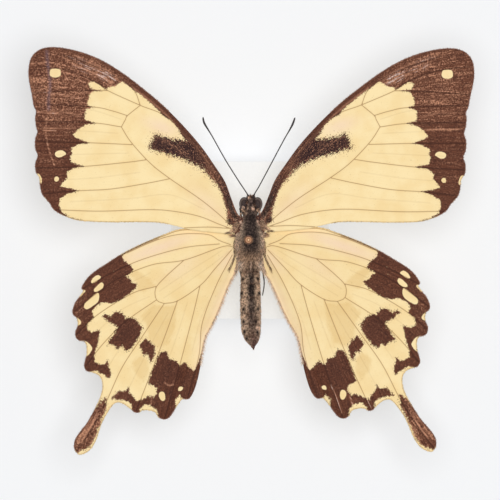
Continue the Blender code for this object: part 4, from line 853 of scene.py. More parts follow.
# marks seen from above: colour, x, y, half length along y, half width, strength
bodyMarks = [
    ("olive", 2.1, 1.0, 3.6, 0.95, 0.95), ("olive", -2.1, 1.0, 3.6, 0.95, 0.95),
    ("rear", 0.0, -3.8, 1.7, 2.6, 1.0), ("tan", 2.3, -1.8, 2.2, 0.8, 0.8),
    ("tan", -2.3, -1.8, 2.2, 0.8, 0.8), ("black", 0.2, 2.8, 4.2, 1.25, 0.95),
    ("black", 0.2, 0.2, 1.9, 1.6, 0.85), ("pale", -1.75, 3.5, 0.6, 0.26, 0.8),
    ("pale", 1.5, 3.6, 0.6, 0.26, 0.75), ("pale", 1.9, 5.6, 0.4, 0.4, 0.6),
    ("pale", -1.6, 5.2, 0.5, 0.35, 0.5), ("tan", -0.9, 5.3, 0.25, 0.3, 0.5),
    ("pale", -0.9, 6.5, 0.42, 0.42, 0.95), ("pale", 0.6, 6.4, 0.42, 0.36, 0.95),
    ("pale", -0.35, 8.2, 0.25, 0.25, 0.6), ("streak", 0.2, 8.9, 0.4, 0.3, 0.6),
    ("stripe", 0.22, -9.6, 5.2, 0.8, 1.0), ("stripe", -0.3, -5.9, 0.8, 0.7, 0.5),
    ("stripe", 0.8, -5.9, 0.8, 0.6, 0.5), ("greyStripe", 0.22, -15.8, 3.6, 0.95, 0.9),
    ("stripe", 0.3, -13.4, 1.0, 0.6, 0.6), ("patch", -1.0, -6.2, 0.8, 0.6, 0.6),
    ("patch", 1.05, -6.2, 0.8, 0.6, 0.6), ("patch", -1.9, -9.0, 3.0, 0.3, 0.4),
    ("patch", 1.0, -16.0, 1.0, 0.5, 0.5), ("patch", -0.7, -15.0, 1.0, 0.4, 0.4),
    ("patch", 0.4, -18.6, 0.9, 1.2, 0.6), ("fur", 2.1, -4.3, 1.0, 0.8, 0.9),
    ("fur", -2.1, -4.3, 1.0, 0.8, 0.9), ("stripe", 0.0, -4.4, 0.5, 0.8, 0.5),
    ("pale", 1.3, -17.6, 0.9, 0.3, 0.6), ("pale", -1.2, -17.2, 0.9, 0.25, 0.5),
    ("pale", 1.1, -20.0, 0.4, 0.2, 0.6), ("tip", 0.6, -21.2, 1.7, 1.4, 1.0),
    ("tip", 0.4, -19.6, 0.5, 0.9, 0.5), ("pale", 0.1, -4.9, 0.9, 0.14, 0.8),
]
bodyDots = (
    (-1.4, -7.7), (-1.6, -10.5), (-1.3, -13.7), (-1.3, -16.2), (-1.1, -18.2), (-0.7, -19.6),
    (1.6, -7.6), (1.8, -10.5), (1.6, -13.6), (1.2, -16.2), (1.5, -18.3))
dotForm = {"length": 0.35, "width": 0.24, "strength": 1.8}


def keyed(table, places, smoothing=0):
    # values read between the keys of a table, rounded off over neighbouring rings
    keys = sorted(table)
    values = np.interp(places, keys, [table[key] for key in keys])
    if smoothing:
        kernel = np.hanning(smoothing + 2)[1:-1]
        values = np.convolve(np.pad(values, smoothing // 2, mode="edge"), kernel / kernel.sum(), "valid")
    return values


def softOval(x, y, place, length, width):
    return np.exp(-((y - place[1]) / length) ** 2 - ((x - place[0]) / width) ** 2)


def makeBody():
    form = bodyForm
    sides, rings = form["sides"], form["rings"]
    along = np.linspace(form["front"], form["rear"], rings)
    wide, tall, height, bend = (keyed(form[key], along, form["smoothing"])
                                for key in ("halfWidth", "tallness", "height", "bend"))
    wide[[0, -1]] = form["endWidth"]
    angle = np.linspace(0.0, 2.0 * math.pi, sides, endpoint=False)
    y = np.repeat(along, sides).reshape(rings, -1)
    across, up = np.sin(angle), -np.cos(angle)  # the first corner of a ring is at the bottom
    x = wide[:, None] * across
    top = np.broadcast_to(up, x.shape)  # 1 on the back, -1 on the belly
    swell = sum(rise * softOval(x, y, (px, py), length, width) * np.maximum(0.0, top)
                for px, py, length, width, rise in form["relief"])
    bulge, fold = form["swelling"], form["sideFold"]
    for joint in form["joints"]:
        swell = swell - form["jointDepth"] * np.exp(-((y - joint) / form["jointWidth"]) ** 2)
        swell = swell + bulge["height"] * np.exp(-((y - joint - bulge["ahead"]) / bulge["length"]) ** 2)
    flank = np.exp(-((top + fold["level"]) / fold["width"]) ** 2) * (y < fold["front"]) * (y > fold["rear"])
    swell = (swell - fold["depth"] * flank) * np.minimum(1.0, wide[:, None] / fold["ease"])
    x = x + across * swell + bend[:, None]
    z = wide[:, None] * tall[:, None] * up + up * swell + height[:, None]
    corners = np.stack((x, y, z), -1).reshape(-1, 3)
    faces, places = [], []
    for ring in range(rings - 1):
        for index in range(sides):
            after = (index + 1) % sides
            faces.append((ring * sides + index, ring * sides + after, (ring + 1) * sides + after,
                          (ring + 1) * sides + index))
            left, right = 0.02 + 0.38 * index / sides, 0.02 + 0.38 * (index + 1) / sides
            front, back = 0.98 - 0.96 * ring / (rings - 1), 0.98 - 0.96 * (ring + 1) / (rings - 1)
            places += [(left, front), (right, front), (right, back), (left, back)]
    faces.append(tuple(range(sides))[::-1])
    faces.append(tuple((rings - 1) * sides + index for index in range(sides)))
    places += [(0.6, 0.99)] * (2 * sides)

    body = pieceFrom("bodySkin", corners, faces)
    colour, plain = paintBody(x, y, top, bend[:, None])
    store(body, "coatColour", np.column_stack((colour, 1.0 - plain)))  # the fourth: how far it is mottled
    combBody(body, *(values.reshape(-1) for values in (x - bend[:, None], y, top)))
    storeMap(body, places)
    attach(body, "root")
    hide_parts("head", "prothorax", "thorax", "abdomen")
    return body


def paintBody(x, y, top, middle):
    # the colour at each point, with the marks that show from above, and which points are plain dots
    colour = np.where((y < bodyForm["waist"])[..., None], bodyColours["abdomen"][:3],
                      bodyColours["thorax"][:3])
    colour = np.where((y > bodyForm["neck"])[..., None], bodyColours["head"][:3], colour)

    def blend(share, shade):
        return colour * (1.0 - share[..., None]) + np.array(bodyColours[shade][:3]) * share[..., None]

    colour = blend(np.clip((0.1 - top) / 0.5, 0.0, 1.0) * np.clip((5.0 - y) / 2.0, 0.2, 1.0), "belly")
    seen = np.clip((top + 0.25) / 0.3, 0.0, 1.0)
    for shade, px, py, length, width, strength in bodyMarks:
        share = np.minimum(1.0, 1.25 * softOval(x - middle, y, (px, py), length, width))
        colour = blend(share * strength * seen, shade)
    for joint in bodyForm["joints"]:
        colour = blend(0.9 * np.exp(-((y - joint) / 0.16) ** 2) * seen, "line")
    plain = np.zeros_like(x)
    for dot in bodyDots:
        oval = softOval(x, y, dot, dotForm["length"], dotForm["width"])
        share = np.minimum(1.0, dotForm["strength"] * oval) * seen
        colour = blend(share, "dot")
        plain = np.maximum(plain, share)
    return colour.reshape(-1, 3), plain.reshape(-1)


def combBody(body, x, y, top):
    # which way the coat lies, how long the hair is, and where hair and scales grow
    face, neck, waist = bodyForm["face"], bodyForm["neck"], bodyForm["waist"]
    lie = np.stack((0.35 * x * (y > waist - 0.3), np.where(y > face, 1.0, -1.0), -0.3 * (1.0 - top)), -1)
    lie[y > neck, 0] *= -1.2
    lie[:, 0] += 0.5 * np.sign(x) * np.exp(-((y + 3.6) / 0.9) ** 2) * (np.abs(x) > 0.8)
    length = keyed(bodyForm["hairLength"], y)
    length *= 1.0 + 0.5 * np.clip(np.abs(x) - 1.2, 0.0, 1.0) * (y < 5.0)
    hair, scales = bodyForm["hairEnds"], bodyForm["scaleEnds"]
    store(body, "lie", lie)
    store(body, "hairLength", length)
    store(body, "hairShare", np.clip((y - hair[0]) / 1.0, 0.0, 1.0) * (y < hair[1]))
    store(body, "scaleShare", np.clip((scales[1] - y) / 0.6, 0.0, 1.0) * (y > scales[0]))


def coatFinish(name, spread, mottle, roughness):
    finish = Finish(name)
    base = finish.attribute("coatColour", "Color")
    fleck = finish.noise(2.3, 2.0, 0.75)
    mottled = finish.attribute("coatColour", "Alpha")
    tone = (finish.attribute("tone") * spread + (fleck - 0.5) * mottle) * mottled
    light = finish.mix(0.1, finish.mix(1.0, base, (1.6, 1.55, 1.5, 1.0), "MULTIPLY"), screen(236, 210, 188))
    colour = finish.mix(tone.above(0.1, 0.6), base, light)
    shaded = finish.mix(1.0, base, (0.38, 0.36, 0.35, 1.0), "MULTIPLY")
    colour = finish.mix((0.0 - tone).above(0.0, 0.4), colour, shaded)
    strokes = finish.noise(1.0, 2.0, 0.6, finish.stretched(finish.place, (14.0, 2.5, 14.0)))
    return finish.finished(colour, roughness, strokes, 0.06, 0.7, **{"Specular IOR Level": 0.25})


body = makeBody()
skinMaterial = coatFinish("bodyScales", 0.0, 4.2, 0.75)
body.data.materials.append(skinMaterial)
print("body skin made")


# Coat: one tree grows every kind of hair and scale, as closed, tapered and bent tufts

tuftSizes = (0.7, 1.25)  # the shortest and longest share of a place's hair length
tuftPatch = 0.003  # a tuft's size on the bake map


def coatTree():
    tree = bpy.data.node_groups.new("coat", "GeometryNodeTree")
    interface = tree.interface
    interface.new_socket("Geometry", in_out="INPUT", socket_type="NodeSocketGeometry")
    kinds = dict.fromkeys(("Spacing", "Length", "Width", "Thickness", "Curl", "Lift", "Jitter"), "Float")
    kinds.update({"Seed": "Int", "Share": "String", "Material": "Material"})
    sockets = {name: interface.new_socket(name, in_out="INPUT", socket_type="NodeSocket" + kind).identifier
               for name, kind in kinds.items()}
    interface.new_socket("Geometry", in_out="OUTPUT", socket_type="NodeSocketGeometry")
    graph = Graph(tree)
    given = graph.node("NodeGroupInput")
    seed = given.out("Seed")

    def read(name, kind="FLOAT"):
        return graph.node("GeometryNodeInputNamedAttribute", {"data_type": kind}, {"Name": name})

    def keep(geometry, name, value, kind, domain):
        return graph.node("GeometryNodeStoreNamedAttribute", {"data_type": kind, "domain": domain},
                          {"Geometry": geometry, "Name": name, "Value": value})

    scattered = graph.node("GeometryNodeDistributePointsOnFaces", {"distribute_method": "POISSON"}, {
        "Mesh": given.out("Geometry"), "Distance Min": given.out("Spacing") * mm, "Density Max": 4e8,
        "Density Factor": read(given.out("Share")), "Seed": seed})
    normal = scattered.out("Normal")
    points = keep(scattered, "rootPlace", read("OFBake", "FLOAT_VECTOR"), "FLOAT_VECTOR", "POINT")
    tone = graph.node("FunctionNodeRandomValue", {"data_type": "FLOAT"}, {2: -1.0, 3: 1.0, "Seed": seed})
    points = keep(points, "tone", tone.out(1), "FLOAT", "POINT")

    # along the coat's lie, in the skin's plane, turned a little at random and lifted off the skin
    lie = read("lie", "FLOAT_VECTOR")
    outOfPlane = graph.vector("DOT_PRODUCT", lie, normal).out("Value")
    lie = graph.vector("SUBTRACT", lie, graph.vector("SCALE", normal, Scale=outOfPlane))
    stray = graph.node("FunctionNodeRandomValue", {"data_type": "FLOAT_VECTOR"}, {
        0: (-1.0, -1.0, -1.0), 1: (1.0, 1.0, 1.0), "Seed": seed + 1.0})
    stray = graph.vector("SCALE", stray, Scale=given.out("Jitter"))
    lie = graph.vector("ADD", graph.vector("NORMALIZE", lie), stray)
    lift = graph.vector("SCALE", normal, Scale=given.out("Lift"))
    raised = graph.vector("ADD", graph.vector("NORMALIZE", lie), lift)
    across = graph.vector("CROSS_PRODUCT", raised, normal)
    turn = graph.node("FunctionNodeAxesToRotation", {"primary_axis": "Z", "secondary_axis": "X"},
                      {"Primary Axis": raised, "Secondary Axis": across})
    size = graph.node("FunctionNodeRandomValue", {"data_type": "FLOAT"}, {
        2: tuftSizes[0], 3: tuftSizes[1], "Seed": seed + 2.0}).out(1)
    size = size * read("hairLength") * given.out("Length") * mm

    cone = graph.node("GeometryNodeMeshCone", {"fill_type": "NGON"}, {
        "Vertices": 4, "Side Segments": 3, "Radius Top": 0.0, "Radius Bottom": 1.0, "Depth": 1.0})
    tuft = keep(cone, "tuftMap", cone.out("UV Map"), "FLOAT2", "CORNER")
    place = graph.node("ShaderNodeSeparateXYZ", {}, {0: graph.node("GeometryNodeInputPosition")})
    rise = place.out("Z")
    bent = graph.node("ShaderNodeCombineXYZ", {}, {
        "X": place.out("X") * given.out("Width"),
        "Y": place.out("Y") * given.out("Thickness") + rise * rise * given.out("Curl"), "Z": rise})
    tuft = graph.node("GeometryNodeSetPosition", {}, {"Geometry": tuft, "Position": bent})
    coat = graph.node("GeometryNodeInstanceOnPoints", {}, {
        "Points": points, "Instance": tuft, "Rotation": turn, "Scale": size})
    coat = graph.node("GeometryNodeRealizeInstances", {}, {"Geometry": coat})
    # on the bake map each tuft is a small patch at its root's place
    patch = graph.vector("SCALE", read("tuftMap", "FLOAT_VECTOR"), Scale=tuftPatch)
    patch = graph.vector("ADD", read("rootPlace", "FLOAT_VECTOR"), patch)
    coat = keep(coat, "OFBake", patch, "FLOAT2", "CORNER")
    for name in ("rootPlace", "tuftMap", "lie", "hairLength", "hairShare", "scaleShare"):
        coat = graph.node("GeometryNodeRemoveAttribute", {}, {"Geometry": coat, "Name": name})
    coat = graph.node("GeometryNodeSetShadeSmooth", {}, {"Geometry": coat})
    coat = graph.node("GeometryNodeSetMaterial", {}, {"Geometry": coat, "Material": given.out("Material")})
    graph.node("NodeGroupOutput", {}, {"Geometry": coat})
    return tree, sockets


coat, coatSockets = coatTree()
hairMaterial = coatFinish("bodyHair", 0.5, 4.2, 0.7)
fringeMaterial = coatFinish("fringeHair", 0.25, 1.0, 0.7)


def growCoat(name, emitter, settings, material):
    piece = bpy.data.objects.new(name, emitter.data.copy())
    bpy.context.scene.collection.objects.link(piece)
    modifier = piece.modifiers.new("coat", "NODES")
    modifier.node_group = coat
    for key, value in {**settings, "Material": material}.items():
        modifier[coatSockets[key]] = value
    plainMesh(piece)
    piece.data.name = name
    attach(piece, "root")
    print(name, "has", sum(len(face.vertices) - 2 for face in piece.data.polygons), "triangles")
    return piece


# widths, thicknesses, curl and lift are shares of a tuft's length
bodyHair = {"Share": "hairShare", "Spacing": 0.115, "Length": 1.0, "Width": 0.05, "Thickness": 0.03,
            "Curl": -0.14, "Lift": 0.22, "Jitter": 0.22, "Seed": 3}
abdomenScales = {"Share": "scaleShare", "Spacing": 0.15, "Length": 0.5, "Width": 0.17, "Thickness": 0.03,
                 "Curl": -0.08, "Lift": 0.1, "Jitter": 0.2, "Seed": 5}
growCoat("bodyHair", body, bodyHair, hairMaterial)
growCoat("abdomenScales", body, abdomenScales, hairMaterial)
print("body coat made")


# Tufts at the wing roots and fringes on the wing edges: hair on narrow strips that are no part of the model

stripForm = {"step": 0.25, "above": 0.1}
headForm = {"step": 0.15, "width": 0.35}
innerForm = {"inset": 0.15, "width": 0.3, "length": 0.75, "towardsBody": 0.8, "backwards": 0.6}
fringeForm = {"step": 0.3, "inset": 0.12, "width": 0.12, "length": 0.26, "break": 1.0, "blend": 0.4,
              "from": {"forewing": 16.0, "hindwing": 12.0}}
# strips of the right side, which the left repeats: colour, wing, path, width, hair length, the hair's lie
rootStrips = [
    ("tan", "forewing", [(2.1, 4.0), (2.5, 3.2), (2.7, 2.2)], 0.9, 1.0, (0.8, -0.6)),
    ("pale", "forewing", [(2.6, 3.0), (2.9, 2.4)], 0.5, 1.0, (1.0, -0.1)),
    ("pink", "forewing", [(2.6, 2.7), (3.2, 2.4), (3.5, 2.2)], 0.6, 0.9, (1.0, -0.5)),
    ("thorax", "forewing", [(2.4, 4.6), (3.0, 5.2), (3.6, 6.6), (4.2, 8.4)], 0.8, 0.8, (0.5, 1.0)),
    ("tan", "forewing", [(2.6, 4.2), (3.3, 5.4), (4.0, 7.6)], 0.6, 0.6, (0.5, 1.0)),
    ("thorax", "forewing", [(2.4, 3.9), (3.2, 3.7), (4.0, 4.4)], 0.7, 0.8, (0.9, 0.1)),
    ("streak", "forewing", [(3.3, 1.85), (4.4, 1.8)], 0.35, 0.8, (1.0, -0.15)),
    ("tan", "hindwing", [(2.1, 1.7), (2.5, 1.2), (2.8, 0.6)], 0.8, 1.3, (1.0, -0.1)),
    ("pale", "hindwing", [(2.5, 1.5), (2.9, 1.1)], 0.4, 1.2, (1.0, -0.2)),
    ("olive", "forewing", [(2.0, 2.0), (2.1, 0.4), (2.1, -1.4)], 0.8, 0.9, (0.6, -0.8)),
    ("tan", "hindwing", [(2.3, 0.4), (2.6, -0.8), (2.5, -2.2)], 0.7, 0.8, (0.4, -0.95)),
    ("olive", "hindwing", [(2.3, -1.6), (2.2, -3.4)], 0.6, 1.1, (0.2, -1.0)),
    ("olive", "hindwing", [(2.3, -3.4), (2.5, -5.0), (3.0, -6.4)], 0.5, 1.0, (0.25, -1.0)),
    ("fur", "hindwing", [(1.9, -3.2), (2.1, -4.2), (2.0, -5.0)], 0.6, 1.1, (0.15, -1.0)),
    ("streak", "hindwing", [(2.8, 0.2), (3.0, -1.4), (2.9, -2.8)], 0.3, 0.7, (0.3, -1.0)),
    ("streak", "hindwing", [(2.7, -2.4), (3.1, -3.6), (3.7, -5.0), (4.2, -5.9)], 0.35, 0.7, (0.5, -0.95)),
    ("streak", "hindwing", [(2.9, -3.4), (3.6, -4.8), (4.3, -6.4)], 0.14, 0.6, (0.45, -0.95)),
]
# tufts on the head: colour, height, path, hair length, the hair's lie
headStrips = [
    ("head", 25.45, [(-0.5, 8.2), (-0.62, 7.2), (-0.75, 6.3)], 0.5, (-0.7, -0.7)),
    ("head", 25.45, [(0.8, 8.2), (0.92, 7.2), (1.05, 6.3)], 0.5, (0.7, -0.7)),
    ("streak", 25.6, [(-0.45, 7.7), (-0.55, 7.3)], 0.4, (-0.6, -0.8)),
    ("streak", 25.6, [(0.75, 7.3), (0.85, 6.9)], 0.4, (0.6, -0.8)),
    ("tan", 25.8, [(-0.6, 6.75), (-0.35, 6.6)], 0.4, (-0.2, -1.0)),
    ("pale", 25.66, [(-1.55, 6.85), (-1.2, 6.5)], 0.4, (0.2, -1.0)),
    ("tan", 25.3, [(-1.75, 6.3), (-1.3, 5.95), (-0.9, 5.9)], 0.5, (-0.2, -1.0)),
    ("pale", 25.82, [(0.4, 6.65), (0.75, 6.4)], 0.4, (0.2, -1.0)),
    ("tan", 25.35, [(1.3, 6.1), (1.8, 6.2)], 0.5, (0.3, -1.0)),
    ("pale", 25.0, [(1.75, 5.9), (2.0, 5.5)], 0.5, (0.3, -1.0)),
    ("tan", 24.8, [(-1.75, 5.5), (-1.85, 4.9)], 0.6, (-0.3, -1.0)),
    ("pale", 25.75, [(-0.4, 8.35), (-0.1, 8.3)], 0.4, (0.1, 1.0)),
    ("pale", 26.4, [(-1.9, 3.9), (-1.7, 3.3)], 0.5, (-0.1, -1.0)),
    ("pale", 26.4, [(1.45, 4.0), (1.6, 3.4)], 0.5, (0.1, -1.0)),
    ("streak", 25.5, [(0.0, 8.6), (0.2, 8.55)], 0.75, (-0.15, 1.0)),
]
innerEdge = [(2.2, -4.2), (2.9, -6.6), (4.0, -8.4), (5.2, -11.0), (6.5, -14.0), (8.0, -17.0), (9.3, -19.2),
             (10.0, -21.6), (10.6, -24.8)]


def stripEmitter(name, strips):
    # thin strips of skin that face up, each a row of its own on the bake map
    corners, faces, lies, lengths, colours, places = [], [], [], [], [], []
    for row, strip in enumerate(strips):
        line, side, count, start = strip["line"], strip["side"], len(strip["line"]), len(corners)
        for column in (-0.5, 0.5):
            flat = line + offsets(line)[1] * column * strip["width"]
            if "height" in strip:
                heights = np.full(count, strip["height"])
            else:
                heights = wingHeight(flat, levels[strip["wing"]]) + stripForm["above"]
            corners += np.column_stack((flat[:, 0] * side, flat[:, 1], heights)).tolist()
        lie = np.broadcast_to(strip["lie"], line.shape)
        lie = np.column_stack((lie[:, 0] * side, lie[:, 1], np.zeros(count)))
        lies += [lie, lie]
        lengths += [strip["length"]] * (2 * count)
        shade = np.broadcast_to(strip["colour"], (count, 4))
        colours += [shade, shade]
        for index in range(count - 1):
            face = [start + index, start + count + index, start + count + index + 1, start + index + 1]
            low, high = (row + 0.15) / len(strips), (row + 0.85) / len(strips)
            left, right = 0.02 + 0.96 * index / (count - 1), 0.02 + 0.96 * (index + 1) / (count - 1)
            cell = [(left, low), (left, high), (right, high), (right, low)]
            faces.append(face if side > 0.0 else face[::-1])
            places += cell if side > 0.0 else cell[::-1]
    emitter = pieceFrom(name, corners, faces)
    store(emitter, "coatColour", np.concatenate(colours))
    store(emitter, "lie", np.concatenate(lies))
    store(emitter, "hairLength", lengths)
    store(emitter, "hairShare", np.ones(len(corners)))
    storeMap(emitter, places)
    return emitter


def growStrips(name, strips, settings, material):
    emitter = stripEmitter(name + "Strips", strips)
    grown = growCoat(name, emitter, settings, material)
    bpy.data.objects.remove(emitter)
    return grown


stripColours = {**bodyColours, "pink": screen(214, 176, 150), "inner": screen(238, 208, 178)}
rootHair = {**bodyHair, "Spacing": 0.11, "Width": 0.045, "Curl": -0.1, "Lift": 0.3, "Jitter": 0.3, "Seed": 11}
headHair = {**bodyHair, "Spacing": 0.07, "Width": 0.1, "Thickness": 0.05, "Curl": -0.15, "Lift": 0.35,
            "Jitter": 0.35, "Seed": 19}
innerHair = {**bodyHair, "Spacing": 0.09, "Thickness": 0.04, "Curl": -0.1, "Lift": 0.1, "Jitter": 0.3,
             "Seed": 13}
fringeHair = {**bodyHair, "Spacing": 0.075, "Width": 0.2, "Thickness": 0.09, "Curl": 0.0, "Lift": 0.0,
              "Jitter": 0.2, "Seed": 17}


def rootHairStrips():
    return [{"line": smoothPath(placed(kind, side)(path), stripForm["step"]), "side": side, "width": width,
             "wing": kind, "length": length, "lie": lie, "colour": stripColours[colour]}
            for _, side in bothSides for colour, kind, path, width, length, lie in rootStrips]


def headHairStrips():
    return [{"line": smoothPath(path, headForm["step"]), "side": 1.0, "width": headForm["width"],
             "height": height, "length": length, "lie": lie, "colour": stripColours[colour]}
            for colour, height, path, length, lie in headStrips]


def innerHairStrips():
    strips = []
    for _, side in bothSides:
        line = smoothPath(placed("hindwing", side)(innerEdge), stripForm["step"])
        along, across = offsets(line)
        strips.append({"line": line - across * innerForm["inset"], "side": side, "width": innerForm["width"],
                       "wing": "hindwing", "length": innerForm["length"], "colour": stripColours["inner"],
                       "lie": across * innerForm["towardsBody"] + along * innerForm["backwards"]})
    return strips


def fringeStrips():
    # short scales along every free edge, in the colour that the wing has there
    strips = []
    for _, side in bothSides:
        for kind, plan in (("forewing", forewing), ("hindwing", hindwing)):
            place = placed(kind, side)
            line = smoothPath(place(plan["outline"]), fringeForm["step"], closed=True)
            line = line[line[:, 0] > fringeForm["from"][kind]]
            breaks = np.flatnonzero(np.linalg.norm(np.diff(line, axis=0), axis=1) > fringeForm["break"]) + 1
            line = np.roll(line, -breaks[0], axis=0) if len(breaks) else line
            across = offsets(line)[1]
            inset = line + across * fringeForm["inset"]
            dark = deepestIn(inset, [place(area["outline"]) for area in plan["dark"].values()])
            pale = deepestIn(inset, [place(outline) for outline in plan["pale"].values()])
            share = np.clip(dark / fringeForm["blend"], 0.0, 1.0) * (pale < 0.0)
            colour = np.outer(share, wingColours["fringe"]) + np.outer(1.0 - share, wingColours["creamDeep"])
            strips.append({"line": inset, "side": side, "width": fringeForm["width"], "wing": kind,
                           "length": fringeForm["length"], "lie": -across, "colour": colour})
    return strips


growStrips("rootHair", rootHairStrips(), rootHair, hairMaterial)
growStrips("headHair", headHairStrips(), headHair, hairMaterial)
growStrips("innerHair", innerHairStrips(), innerHair, fringeMaterial)
growStrips("wingFringe", fringeStrips(), fringeHair, fringeMaterial)
print("tufts and fringes made")


# Eyes: many small facets, each a low dome

eyeForm = {"headX": 0.17, "offset": 1.33, "y": 7.2, "z": 24.25, "radii": (1.0, 1.4, 1.42), "facetRise": 0.012,
           "facetTop": 0.75, "detail": 5}


def eyeTree():
    tree = bpy.data.node_groups.new("eyeFacets", "GeometryNodeTree")
    rise = tree.interface.new_socket("Rise", in_out="INPUT", socket_type="NodeSocketFloat").identifier
    tree.interface.new_socket("Geometry", in_out="OUTPUT", socket_type="NodeSocketGeometry")
    graph = Graph(tree)
    given = graph.node("NodeGroupInput")
    ball = graph.node("GeometryNodeMeshIcoSphere", {}, {"Radius": 1.0, "Subdivisions": eyeForm["detail"]})
    facets = graph.node("GeometryNodeDualMesh", {}, {"Mesh": ball})
    raised = graph.node("GeometryNodeExtrudeMesh", {"mode": "FACES"}, {
        "Mesh": facets, "Offset Scale": given, "Individual": True})
    domes = graph.node("GeometryNodeScaleElements", {"domain": "FACE"}, {
        "Geometry": raised, "Selection": raised.out("Top"), "Scale": eyeForm["facetTop"]})
    graph.node("NodeGroupOutput", {}, {"Geometry": domes})
    return tree, rise


def makeEyes():
    tree, rise = eyeTree()
    finish = Finish("eyeSurface")
    rim, paintedHighlightNoise = finish.attribute("rim"), finish.noise(3.0)
    # painted reflection: a paler band round the upper part of each eye, near its outline as seen from above;
    # painted shade: the lower part darker; painted highlights: lighter brown spots
    paintedReflectionBand = rim.above(0.42, 0.6) * rim.below(0.64, 0.84) * 0.85
    colour = finish.mix(paintedReflectionBand, screen(54, 39, 36), screen(122, 106, 98))
    colour = finish.mix(rim.below(0.2, 0.32), colour, screen(42, 29, 28))
    colour = finish.mix(paintedHighlightNoise.above(0.45, 0.65) * 0.3, colour, screen(98, 76, 68))
    finish.finished(colour, 0.42, **{"Specular IOR Level": 0.3})
    for sideName, side in bothSides:
        eye = pieceFrom("eye_" + sideName + "_facets", [], [])
        modifier = eye.modifiers.new("facets", "NODES")
        modifier.node_group = tree
        modifier[rise] = eyeForm["facetRise"]
        plainMesh(eye)
        places = np.empty(len(eye.data.vertices) * 3)
        eye.data.vertices.foreach_get("co", places)
        places = places.reshape(-1, 3)
        store(eye, "rim", places[:, 2])
        centre = np.array((eyeForm["headX"] + side * eyeForm["offset"], eyeForm["y"], eyeForm["z"]))
        eye.data.vertices.foreach_set("co", ((places * eyeForm["radii"] + centre) * mm).ravel())
        eye.data.update()
        eye.data.shade_smooth()
        eye.data.materials.append(finish.material)
        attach(eye, "root")
        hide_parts("eye_" + sideName)


makeEyes()
print("eyes made")


# Feelers, palps, proboscis and legs

feelerPaths = {
    "antenna_right": [(0.55, 8.1, 25.0), (0.9, 9.2, 25.5), (1.9, 10.9, 25.9), (4.1, 15.0, 26.3),
                      (6.6, 19.7, 26.6), (8.2, 22.5, 26.8), (8.7, 23.6, 26.9), (9.0, 24.5, 27.0)],
    "antenna_left": [(-0.25, 8.1, 25.0), (-0.5, 9.1, 25.5), (-2.2, 11.7, 25.9), (-4.9, 16.0, 26.3),
                     (-7.6, 20.8, 26.6), (-9.0, 23.1, 26.8), (-9.3, 23.9, 26.9), (-9.4, 24.6, 27.0)],
}
feelerForm = {"base": 0.2, "shaft": 0.105, "club": 0.2, "clubFrom": 0.8, "clubEnd": 0.16, "tip": 0.05,
              "segment": 0.36, "segmentSwell": 0.014, "step": 0.09, "sides": 10}
legPaths = {
    "foreleg": [(0.8, 3.9, 22.9), (1.0, 4.8, 21.9), (1.6, 5.9, 21.4), (1.95, 6.35, 20.95), (1.95, 5.9, 20.5),
                (1.5, 3.6, 20.2), (1.2, 1.2, 19.9), (0.9, -0.8, 19.7)],
    "midleg": [(1.2, 1.4, 22.6), (1.8, 2.0, 21.2), (2.9, 3.5, 20.6), (2.7, 0.2, 20.0), (2.3, -2.6, 19.7),
               (1.9, -4.8, 19.6)],
    "hindleg": [(1.1, -2.2, 22.6), (2.0, -1.9, 21.6), (2.9, -1.3, 21.3), (3.35, -1.5, 21.3),
                (3.3, -2.2, 21.4), (2.5, -5.0, 21.7), (2.85, -8.6, 22.1), (2.5, -11.2, 22.5)],
    "hindleg_left": [(1.1, -2.2, 22.6), (2.0, -1.9, 21.5), (2.9, -1.3, 21.0), (3.3, -1.5, 20.85),
                     (3.2, -2.2, 20.8), (2.35, -4.8, 20.8), (1.5, -8.2, 20.6), (0.8, -10.6, 20.4)],
}
# a leg's radius along it: coxa, femur, knee, tibia, foot
legRadii = {0.0: 0.42, 0.12: 0.34, 0.3: 0.22, 0.36: 0.17, 0.42: 0.15, 0.66: 0.14, 0.7: 0.17, 0.73: 0.12,
            0.98: 0.1, 1.0: 0.04}
legForm = {"step": 0.12, "sides": 12}
footForm = {"from": 0.7, "to": 0.97, "segments": 5, "swell": 0.03}
palpForm = {"path": [(0.42, 7.5, 23.0), (0.5, 8.35, 22.9), (0.5, 8.7, 23.6), (0.42, 8.7, 24.4)], "step": 0.08,
            "sides": 16, "radii": {0.0: 0.24, 0.35: 0.34, 0.8: 0.28, 1.0: 0.12}, "hairLength": 0.35}
palpHair = {**bodyHair, "Spacing": 0.1, "Width": 0.1}
coilForm = {"centre": (7.75, 21.3), "outer": 1.25, "inner": 0.45, "turns": 1.25, "start": 180.0, "steps": 60,
             "root": (6.6, 23.3), "x": 0.15, "radius": 0.13, "taper": 0.4, "step": 0.1, "sides": 12}


def limbFinish():
    finish = Finish("limbSurface")
    speck = finish.noise(9.0, 2.0)
    colour = finish.mix(speck.above(0.5, 0.7) * 0.6, screen(44, 36, 36), screen(92, 78, 72))
    return finish.finished(colour, 0.5, speck, 0.03, 0.4, **{"Specular IOR Level": 0.35})


def lengthShares(path):
    gaps = np.linalg.norm(np.diff(path, axis=0), axis=1)
    travelled = np.concatenate(([0.0], np.cumsum(gaps)))
    return travelled / travelled[-1], travelled[-1]


def finishLimb(limb, node):
    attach(limb, "root")
    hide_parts(node)


def makeAntenna(node, material):
    form = feelerForm
    path = smoothPath(feelerPaths[node], form["step"])
    share, length = lengthShares(path)
    radii = np.interp(share, (0.0, 0.03, 0.08, form["clubFrom"], 0.93, 0.985, 1.0),
                      (form["base"], form["base"], form["shaft"], form["shaft"], form["club"],
                       form["clubEnd"], form["tip"]))
    radii = radii + form["segmentSwell"] * np.abs(np.sin(math.pi * share * length / form["segment"]))
    finishLimb(sweptTube(node + "Shaft", path, radii, form["sides"], material), node)


